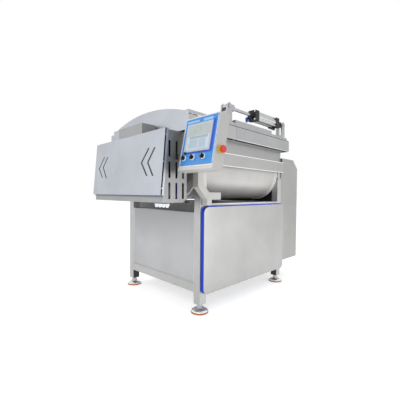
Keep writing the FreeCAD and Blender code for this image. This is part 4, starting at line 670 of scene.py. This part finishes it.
def dress_drive_box():
    """Chevrons, latches, cover lips, gaps of painted shade, sill and screws on the drive box."""
    strokes = [chevron(*marks) for marks in (
        ((230, 1016), (157, 1105), (158, 929), 15.0), ((158, 1013), (94, 1103), (94, 927), 15.0),
        ((836, 1013), (759, 1100), (770, 940), 12.0), ((769, 1019), (706, 1095), (702, 932), 13.0))]
    piece("drive_cover_chevrons", "tank_unit", "print", strokes)
    latch = [brick(-217, -205, -7, 0, 1030, 1066), brick(-214, -208, -13, -7, 1040, 1062)]
    latch.append(brick(-217, -205, 900, 907, 1030, 1066))
    piece("drive_box_latches", "tank_unit", "black_plastic", latch, 0.001)
    lip = [(-336, 808), (-311, 808), (-277, 1211), (-302, 1211)]
    gap = [(-311, 808), (-307, 808), (-273, 1205), (-277, 1211)]
    # Painted shade: the gaps are thin dark plates beside the cover lips.
    for name, look, y, way, deep, outline in (
            ("drive_cover_lip_near", "cover_sheet", 0.0, -1, 0.005, lip),
            ("drive_cover_lip_far", "cover_sheet", DEPTH, 1, 0.005, lip),
            ("drive_cover_gap_shade_near", "cast_paint", 0.0, -1, 0.0008, gap),
            ("drive_cover_gap_shade_far", "cast_paint", DEPTH, 1, 0.0008, gap)):
        piece(name, "tank_unit", look, [plate([at(x, y, z) for x, z in outline], (0, way, 0), deep)])
    piece("drive_cover_sill", "tank_unit", "cast_paint", [brick(-326.5, -325, 4, 896, 799, 806)])
    screws = []
    for y, way in ((-5.0, -1), (905.0, 1)):
        for z in (850, 1010, 1170):
            screws.append(socket_screw(at(cover_x(z) + 6.5, y, z), (0, way, 0), 0.0045, 0.003))
    for y in (320, 450, 580):
        for x, way in ((-270, -1), (-159, 1)):
            screws.append(socket_screw(at(x, y, 1219), (way, 0, 0), 0.0045, 0.003))
    piece("drive_box_screws", "tank_unit", "machined_steel", screws)


def cooling_ribs(start, end, across, radius, count, half, height):
    """Straight ribs round a level line, with their half thickness and height in metres."""
    made = []
    for i in range(count):
        a = 2 * math.pi * i / count
        out = across * math.cos(a) + UP * math.sin(a)
        side = (UP * math.cos(a) - across * math.sin(a)) * half
        root, rise = start + out * radius, out * height
        corners = [root - side, root + side, root + side + rise, root - side + rise]
        points = corners + [p + (end - start) for p in corners]
        faces = [(3, 2, 1, 0), (4, 5, 6, 7), (0, 1, 5, 4), (1, 2, 6, 5), (2, 3, 7, 6), (3, 0, 4, 7)]
        made.append((points, faces))
    return made


def dress_motors():
    """Cooling ribs, fan cowls and gearbox bolts on the gear motors."""
    ribs, cowls, bolts = [], [], []
    for start, way in ((40.0, 1.0), (860.0, -1.0)):
        ends = [at(MOTOR_X, start + way * along, MOTOR_Z) for along in (52, 200)]
        ribs += cooling_ribs(*ends, Vector((1, 0, 0)), 0.066, 26, 0.0012, 0.006)
        cowls.append(lathe(at(MOTOR_X, start - way * 1.5, MOTOR_Z), (0, way, 0),
                           [(0, 0.052), (0.006, 0.07), (0.046, 0.0725), (0.048, 0.0665)], 40))
        centre = start + way * 260
        for a in (-1, 1):
            for b in (-1, 1):
                place = at(-165, centre + a * 30, MOTOR_Z + b * 50)
                bolts.append(hex_bolt(place, (1, 0, 0), 0.006, 0.005))
    piece("motor_ribs", "tank_unit", "motor_blue", ribs)
    piece("motor_fan_cowls", "tank_unit", "motor_blue", cowls)
    piece("gearbox_bolts", "tank_unit", "chain_steel", bolts)


def chain_line():
    """Roller places of both chains."""
    wheel_teeth, pinion_teeth = 24, 12
    r1 = CHAIN_PITCH / (2 * math.sin(math.pi / wheel_teeth))
    r2 = CHAIN_PITCH / (2 * math.sin(math.pi / pinion_teeth))
    loops = []
    for shaft_y, motor_y in zip(SHAFT_YS, (300.0, 600.0)):
        shaft, motor = (shaft_y, SHAFT_Z), (motor_y, MOTOR_Z)
        dy, dz = motor[0] - shaft[0], motor[1] - shaft[1]
        run, base = math.hypot(dy, dz), math.atan2(dz, dy)
        lean = math.acos((r1 - r2) / run)
        path = []
        for i in range(60):
            a = base + lean + (2 * math.pi - 2 * lean) * i / 60
            path.append((shaft[0] + r1 * math.cos(a), shaft[1] + r1 * math.sin(a)))
        for i in range(41):
            a = base - lean + 2 * lean * i / 40
            path.append((motor[0] + r2 * math.cos(a), motor[1] + r2 * math.sin(a)))
        path.append(path[0])
        total = sum(math.dist(a, b) for a, b in zip(path, path[1:]))
        count = int(round(total / CHAIN_PITCH))
        places, need, walked = [], 0.0, 0.0
        for a, b in zip(path, path[1:]):
            length = math.dist(a, b)
            while need <= walked + length and len(places) < count:
                t = (need - walked) / max(length, 1e-9)
                places.append((a[0] + (b[0] - a[0]) * t, a[1] + (b[1] - a[1]) * t))
                need += total / count
            walked += length
        loops.append(places)
    return loops


def dress_chains():
    """Pins of the roller chains."""
    pins = []
    for places in chain_line():
        for y, z in places:
            pins.append(bar(at(-157.5, y, z), at(-136.5, y, z), 0.0026, 10))
    piece("chain_pins", "tank_unit", "chain_steel", pins)


def dress_cylinder():
    """Tie rod nuts, air fittings and dark bars of painted shade for the barrel grooves on the cylinder, and
    the nut of its rod.
    """
    nuts = []
    cap, inset = 86.0, 10.0
    place = cap / 2 - inset
    for a in (-1, 1):
        for b in (-1, 1):
            y, z = CYLINDER_Y + a * place, CYLINDER_Z + b * place
            nuts.append(hex_bolt(at(600, y, z), (-1, 0, 0), 0.0068, 0.006))
            nuts.append(hex_bolt(at(973, y, z), (1, 0, 0), 0.0068, 0.006))
    piece("cylinder_nuts", "cylinder", "machined_steel", nuts)
    blue = [lathe(at(590, 57, 1452), (0, 0, -1), [(-0.004, 0.007), (0.0, 0.0105), (0.022, 0.0105),
                                                 (0.026, 0.008), (0.036, 0.008)], 24)]
    piece("front_air_fitting", "cylinder", "deep_blue", blue)
    black = [lathe(at(946, 14, 1423), (0, 0, -1), [(0, 0.011), (0.008, 0.011), (0.008, 0.009),
                                                  (0.016, 0.009)], 24),
             lathe(at(956, 14, 1412), (-1, 0, 0), [(0.0, 0.0095), (0.06, 0.0095), (0.064, 0.008),
                                                  (0.096, 0.0075)], 24)]
    piece("rear_air_fitting", "cylinder", "black_plastic", black)
    # Painted shade: dark bars along the barrel where its grooves lie.
    stripes, reach = [], 38.6
    for a in (-0.95, -0.42, 0.12, 0.65):
        y, z = CYLINDER_Y - reach * math.cos(a), CYLINDER_Z + reach * math.sin(a)
        stripes.append(bar(at(640, y, z), at(930, y, z), 0.0017, 12))
    piece("cylinder_groove_shade", "cylinder", "cast_paint", stripes)
    piece("piston_rod_nut", "rod", "machined_steel",
          [hex_bolt(at(349, CYLINDER_Y, CYLINDER_Z), (1, 0, 0), 0.022, 0.012, False)])


def dress_hinges():
    """Countersunk screws on the lid hinge leaves, and bolts on the two brackets."""
    hood, lid = [], []
    for y0 in (76.0, 748.0):
        for i in range(3):
            y = y0 + 16 + i * 32
            x, target = (292.0, hood) if i != 1 else (372.0, lid)
            for dx in (0.0, -14.0 if i != 1 else 14.0):
                target.append(socket_screw(at(x + dx, y, 1359), (0, 0, 1), 0.0042, 0.0028))
    for y in (4.0, 24.0):
        for x in (270.0, 297.0):
            hood.append(hex_bolt(at(x, y, 1365), (0, 0, 1), 0.0062, 0.006))
        for x in (1051.0, 1081.0):
            lid.append(hex_bolt(at(x, y, 1365), (0, 0, 1), 0.0062, 0.006))
    piece("hood_screws", "tank_unit", "machined_steel", hood)
    piece("lid_screws", "opening_lid", "machined_steel", lid)


def dress_joints():
    """Trims, bright edge lines of painted highlight, thin inner sheets that glow or are painted dark, dark
    strips of painted shade, and fillets along the joints of the machine.
    """
    # Painted shade: black strips on the ledges under the hood and lid, for the shadow line there.
    ledge = (-39, -33, 1318, 1323)
    hood = [brick(low, high, *ledge) for low, high in ((247, 330), (-148, -122), (-112, -72))]
    piece("hood_ledge_shade_strip", "tank_unit", "black_rubber", hood)
    piece("lid_ledge_shade_strip", "opening_lid", "black_rubber", [brick(334, 1130, *ledge)])
    # Low and high X, Y and Z of each strip, line or sheet.
    for name, body, look, box in (
            # Painted highlight: the bright edge lines on the hood, lid and rim.
            ("hood_edge_highlight", "tank_unit", "painted_highlight", (-148, 330, -21, -20, 1324, 1331)),
            ("lid_edge_highlight", "opening_lid", "painted_highlight", (334, 1130, -21, -20, 1324, 1331)),
            ("lid_bottom_highlight", "opening_lid", "painted_highlight", (333, 1138, -40.8, -40, 1223, 1227)),
            ("rim_top_highlight", "tank_unit", "painted_highlight", (-17, 1087, -13, -12, 1113, 1119)),
            ("rim_bottom_highlight", "tank_unit", "painted_highlight", (-17, 1087, -13, -12, 1022, 1028)),
            ("cabinet_gap_strip", "base", "cabinet_steel", (1090, 1097.5, 0, 3, 955, 1158)),
            # Painted light: this inner sheet of the bay glows a little.
            ("bay_rail_sheet", "base", "galvanised_glow", (64, 1006, 837, 839, 692, 752)),
            ("cover_seal_bulb", "base", "blue_rubber", (48, 1022, -28, -18, 729, 738)),
            ("cabinet_gap_foot", "base", "cabinet_steel", (1070.5, 1090, 0, 3, 955, 1018)),
            ("rim_end_upstand", "tank_unit", "rim_steel", (1080, 1088, 15, 18, 1120, 1162)),
            # Painted light: the back sheet of the bay glows a little.
            ("bay_back_sheet", "base", "galvanised_glow", (64, 1006, 885, 888, 203, 690)),
            # Painted shade: a dark sheet at the end of the bay, where only shade lies.
            ("bay_end_shade_sheet", "base", "black_rubber", (1064, 1069, 66, 834, 560, 940))):
        piece(name, body, look, [brick(*box)])
    fillets = [plate([at(x, y, 197) for x, y in ((1, 840), (8, 840), (8, 827))], (0, 0, 1), 0.493)]
    # Painted highlight: a bright bead along the panel's near edge.
    near_bead = plate([at(x, y, 197) for x, y in ((1, 60), (8, 60), (8, 70))], (0, 0, 1), 0.493)
    piece("left_panel_highlight_bead", "base", "painted_highlight", [near_bead])
    fillets.append(plate([at(x, 60, z) for x, z in ((1, 197), (8, 197), (8, 206))], (0, 1, 0), 0.78))
    piece("left_panel_fillets", "base", "stainless", fillets)
    guards = [brick(x, x + 58, 1, 3, 950, 974) for x in (1.0, 1011.0)]
    piece("rest_pad_guards", "base", "stainless", guards, 0.0004)
    piece("drive_box_buffer", "tank_unit", "black_rubber", [brick(-137, -116, -14, 2, 757, 776)], 0.002)


def dress_bearings():
    """Bolts on the pillow blocks, bearing flanges and trunnion bosses."""
    base, tank = [], []
    for x in (POST_XS[0] - 17.0, POST_XS[1] + 17.0):
        for y in (849.5, 890.5):
            base.append(hex_bolt(at(x, y, 965), (0, 0, 1), 0.005, 0.005))
    for y in SHAFT_YS:
        for i in range(6):
            a = 2 * math.pi * i / 6 + 0.3
            tank.append(hex_bolt(at(1022, y + 57 * math.cos(a), SHAFT_Z + 57 * math.sin(a)),
                                 (1, 0, 0), 0.007, 0.007))
    piece("pillow_bolts", "base", "machined_steel", base)
    piece("flange_bolts", "tank_unit", "machined_steel", tank)


def dress_feet():
    """Lock nuts and polished domes of the feet, and dark strips of painted shade and reflection low on the
    inner faces of the posts.
    """
    nuts = []
    for x in POST_XS:
        for y in POST_YS:
            nuts.append(hex_bolt(at(x, y, 34), (0, 0, 1), 0.0225, 0.011, False))
    piece("foot_nuts", "base", "machined_steel", nuts, 0.0006)
    domes = [lathe(at(x, y, 12), (0, 0, 1), [(0, 0.0585), (0.005, 0.0585), (0.0085, 0.056), (0.014, 0.046),
                                             (0.0195, 0.034), (0.0225, 0.024)], 48)
             for x in POST_XS for y in POST_YS]
    piece("foot_domes", "base", "polished", domes)
    # Painted shade and reflection on the inner faces of the legs.
    low, high, wide = 62, 135, 58
    strips = [brick(x, x + wide, 839, 840, low, high) for x in (1.0, 1011.0)]
    strips += [brick(x, x + 1, y, y + wide, low, high) for x in (1009, 60) for y in (1.0, 841.0)]
    piece("leg_shade_strips", "base", "leg_shade", strips)


def dress_cabinet():
    """Hinge screws and locks of the cabinet door."""
    fixed, hung, locks = [], [], []
    for z in (308.2, 621.5, 934.8):
        for dz in (-22, -9):
            fixed.append(socket_screw(at(1398, 924, z + dz), (1, 0, 0), 0.004, 0.0024))
        for dz in (9, 22):
            hung.append(socket_screw(at(1401, 889, z + dz), (1, 0, 0), 0.004, 0.0024))
    for z in (420.0, 830.0):
        locks.append(lathe(at(1398, 66, z), (1, 0, 0), [(0, 0.016), (0.004, 0.016), (0.005, 0.014)], 32))
        locks.append(brick(1402.5, 1408.5, 62, 70, z - 10, z + 10))
    piece("cabinet_hinge_screws", "base", "machined_steel", fixed)
    piece("door_hinge_screws", "side_door", "machined_steel", hung)
    piece("cabinet_locks", "side_door", "black_plastic", locks, 0.0006)


def ring_path(x, radius, y, steps, low, high):
    """Arc of a circle across X, in degrees below the shaft."""
    out = []
    for i in range(steps + 1):
        a = math.radians(low + (high - low) * i / steps)
        out.append(at(x, y + radius * math.cos(a), SHAFT_Z + radius * math.sin(a)))
    return out


def trough_path(x, radius):
    """Line round the double trough's outside at one X."""
    near_y, far_y = SHAFT_YS
    dip = math.degrees(math.acos((far_y - near_y) / 2 / radius))
    near = ring_path(x, radius, near_y, 40, 180, 360 - dip)
    far = ring_path(x, radius, far_y, 40, 180 + dip, 360)
    rim = SHAFT_Z + 14.0
    return [at(x, near_y - radius, rim)] + near + far + [at(x, far_y + radius, rim)]


def dress_welds():
    """Weld beads on the trough, rim, collar, frame and console arm."""
    tank = [bead(trough_path(70.0, 225.6), 0.0022)]
    # Painted highlight: bright seams round the trough ends, for the lit edges of the end plates.
    piece("trough_end_seam_highlights", "tank_unit", "painted_highlight",
          [bead(trough_path(x, 226.0), 0.0036, 0.08, 0.006) for x in (-12.0, 970.0, 1000.0)])
    rim = [at(x, y, 1120) for x, y in ((-10, 15), (1078, 15), (1078, 885), (-10, 885))]
    tank.append(bead(rim, 0.0025, closed=True))
    for y in (5.0, 55.0):
        for x in (5.0, 1015.0):
            tank.append(bead([at(x, y, 1113), at(x + 50, y, 1113)], 0.002))
    piece("tank_welds", "tank_unit", "weld", tank)
    frame_beads = []
    for x in (60.0, 1010.0):
        for y, inner in ((0.0, 60.0), (DEPTH, DEPTH - 60.0)):
            frame_beads.append(bead([at(x, y, 753), at(x, inner, 753)], 0.002))
    for z in (137.0, 197.0):
        for y in (60.0, 840.0):
            frame_beads.append(bead([at(0, y, z), at(60, y, z)], 0.002))
    for y in (60.0, 840.0):
        frame_beads.append(bead([at(0, y, 137), at(0, y, 197)], 0.0016))
    piece("frame_welds", "base", "weld", frame_beads)
    arm = [bead([at(-72, -50, 865), at(-22, -50, 885.7)], 0.0014),
           bead([at(13, -50, 780), at(33.7, -50, 830)], 0.0014),
           bead([at(-72, -50.2, 865), at(-72, 0, 865)], 0.0014),
           bead([at(0, -50, 779), at(50, -50, 779)], 0.0016)]
    piece("arm_welds", "base", "console_paint", arm)
    lid, first, last = [], 452.0, 1028.0
    for i in range(4):
        x = first + (last - first) * i / 3
        for dx in (0.0, 8.0):
            lid.append(bead([at(x + dx, 130, 1353.4), at(x + dx, 870, 1353.4)], 0.0013, step=0.005))
    piece("lid_welds", "opening_lid", "weld", lid)


def dress_pump():
    """Fan cowl, motor ribs and sight glass on the vacuum pump."""
    cowl = [lathe(at(812, PUMP_Y, PUMP_Z), (-1, 0, 0), [(0, 0.07), (0.008, 0.097), (0.06, 0.099),
                                                 (0.062, 0.0952)], 40)]
    ends = [at(x, PUMP_Y, PUMP_Z) for x in (530, 745)]
    ribs = cooling_ribs(*ends, Vector((0, 1, 0)), 0.095, 30, 0.0015, 0.007)
    piece("pump_cowl", "base", "cast_paint", cowl + ribs)
    glass = [lathe(at(250, PUMP_Y, 330), (-1, 0, 0), [(0, 0.019), (0.006, 0.019), (0.006, 0.014),
                                                  (0.004, 0.013)], 32)]
    piece("pump_sight_glass", "base", "brass", glass)


def shown(tree):
    """One for rays from the camera and for mirrored or passing ones, else zero."""
    path = tree.nodes.new("ShaderNodeLightPath")
    total = path.outputs["Is Camera Ray"]
    for name in ("Is Glossy Ray", "Is Transmission Ray"):
        node = tree.nodes.new("ShaderNodeMath")
        node.operation = "MAXIMUM"
        tree.links.new(total, node.inputs[0])
        tree.links.new(path.outputs[name], node.inputs[1])
        total = node.outputs[0]
    return total


FLOOR_GLOW = 0.50
# Camera fitted to the photograph: degrees, focal length and width in pixels, place in machine millimetres.
CAMERA_YAW, CAMERA_PITCH, CAMERA_ROLL = 45.18, -1.34, 0.49
FOCAL_PIXELS, PHOTO_PIXELS, SENSOR = 277.04, 400.0, 36.0
CAMERA_PLACE = (-1314.8, -1318.7, 821.1)


def stage_and_light():
    """Pale floor, soft lights, world and the camera of the photograph."""
    floor_mesh = bpy.data.meshes.new("floor")
    floor_mesh.from_pydata([(-30, -30, 0), (30, -30, 0), (30, 30, 0), (-30, 30, 0)], [], [(0, 1, 2, 3)])
    made, tree, shader, place = new_material("floor")
    drift = noise(tree, place, 1.5, 3.0)
    tone = mixed(tree, spread(tree, drift, 0.0, 1.0), (0.86, 0.86, 0.86), (0.88, 0.88, 0.88))
    tree.links.new(tone, shader.inputs["Base Color"])
    shader.inputs["Roughness"].default_value = 0.8
    shader.inputs["Specular IOR Level"].default_value = 0.2
    glow = tree.nodes.new("ShaderNodeMath")
    glow.operation = "MULTIPLY"
    tree.links.new(shown(tree), glow.inputs[0])
    glow.inputs[1].default_value = FLOOR_GLOW
    shader.inputs["Emission Color"].default_value = (1.0, 1.0, 1.0, 1.0)
    tree.links.new(glow.outputs[0], shader.inputs["Emission Strength"])
    floor_mesh.materials.append(made)
    floor = bpy.data.objects.new("floor", floor_mesh)
    bpy.context.scene.collection.objects.link(floor)

    world = bpy.data.worlds.new("studio")
    bpy.context.scene.world = world
    world.use_nodes = True
    tree = world.node_tree
    back = tree.nodes["Background"]
    place = tree.nodes.new("ShaderNodeTexCoord").outputs["Generated"]
    split = tree.nodes.new("ShaderNodeSeparateXYZ")
    tree.links.new(place, split.inputs["Vector"])
    seen = tree.nodes.new("ShaderNodeValToRGB")
    tree.links.new(split.outputs["Z"], seen.inputs["Fac"])
    seen.color_ramp.elements[0].position = 0.62
    seen.color_ramp.elements[0].color = (1.0, 1.0, 1.0, 1)
    seen.color_ramp.elements[1].position = 0.95
    seen.color_ramp.elements[1].color = (0.78, 0.79, 0.82, 1)
    seen.color_ramp.interpolation = "EASE"
    soft = tree.nodes.new("ShaderNodeValToRGB")
    tree.links.new(split.outputs["Z"], soft.inputs["Fac"])
    soft.color_ramp.elements[0].position = 0.0
    soft.color_ramp.elements[0].color = (0.62, 0.625, 0.63, 1)
    soft.color_ramp.elements[1].position = 0.9
    soft.color_ramp.elements[1].color = (0.66, 0.675, 0.70, 1)
    tree.links.new(mixed(tree, shown(tree), soft.outputs["Color"], seen.outputs["Color"]),
                   back.inputs["Color"])
    back.inputs["Strength"].default_value = 1.0

    # Name, place, target, size, power and tint of each lamp.
    for name, spot, target, size, power, tint in (
            ("key", (-3.6, -2.2, 3.0), (0, 0, 0.8), 2.4, 44.0, (1.0, 1.0, 1.0)),
            ("fill", (1.4, -4.0, 0.3), (0, 0, 0.85), 2.0, 30.0, (1.0, 0.99, 0.975)),
            ("side", (-4.2, 2.2, 1.8), (-0.4, 0, 0.9), 2.2, 18.0, (0.93, 0.96, 1.0)),
            ("under", (0.16, -0.41, 0.76), (0.16, -0.29, 0.96), (0.75, 0.10), 0.24, (1.0, 0.99, 0.97)),
            ("low", (0.3, -1.9, 0.25), (0.1, -0.3, 0.9), 0.8, 2.4, (1.0, 0.99, 0.98)),
            ("top", (0.3, 0.6, 4.2), (0, 0, 1.0), 2.8, 40.0, (1.0, 1.0, 1.0))):
        data = bpy.data.lights.new(name, "AREA")
        if isinstance(size, tuple):
            data.shape = "RECTANGLE"
            data.size, data.size_y = size
        else:
            data.size = size
        data.energy = power
        data.color = tint
        lamp = bpy.data.objects.new(name, data)
        lamp.visible_camera = False
        lamp.location = spot
        lamp.rotation_euler = (Vector(target) - Vector(spot)).to_track_quat("-Z", "Y").to_euler()
        bpy.context.scene.collection.objects.link(lamp)

    yaw, pitch, roll = (math.radians(turn) for turn in (CAMERA_YAW, CAMERA_PITCH, CAMERA_ROLL))
    ahead = Vector((math.cos(yaw) * math.cos(pitch), math.sin(yaw) * math.cos(pitch), math.sin(pitch)))
    right0 = Vector((math.sin(yaw), -math.cos(yaw), 0.0))
    up0 = right0.cross(ahead)
    right = right0 * math.cos(roll) + up0 * math.sin(roll)
    up = up0 * math.cos(roll) - right0 * math.sin(roll)
    data = bpy.data.cameras.new("camera")
    data.sensor_width = SENSOR
    data.lens = FOCAL_PIXELS / PHOTO_PIXELS * SENSOR
    data.clip_end = 60.0
    camera = bpy.data.objects.new("camera", data)
    spot = at(*CAMERA_PLACE)
    camera.matrix_world = Matrix((
        (right.x, up.x, -ahead.x, spot.x), (right.y, up.y, -ahead.y, spot.y),
        (right.z, up.z, -ahead.z, spot.z), (0, 0, 0, 1)))
    bpy.context.scene.collection.objects.link(camera)
    bpy.context.scene.camera = camera
    bpy.context.scene.view_settings.view_transform = "Standard"


dress_nodes()
dress_console()
dress_drive_box()
dress_motors()
dress_chains()
dress_cylinder()
dress_hinges()
dress_joints()
dress_bearings()
dress_feet()
dress_cabinet()
dress_welds()
dress_pump()
stage_and_light()
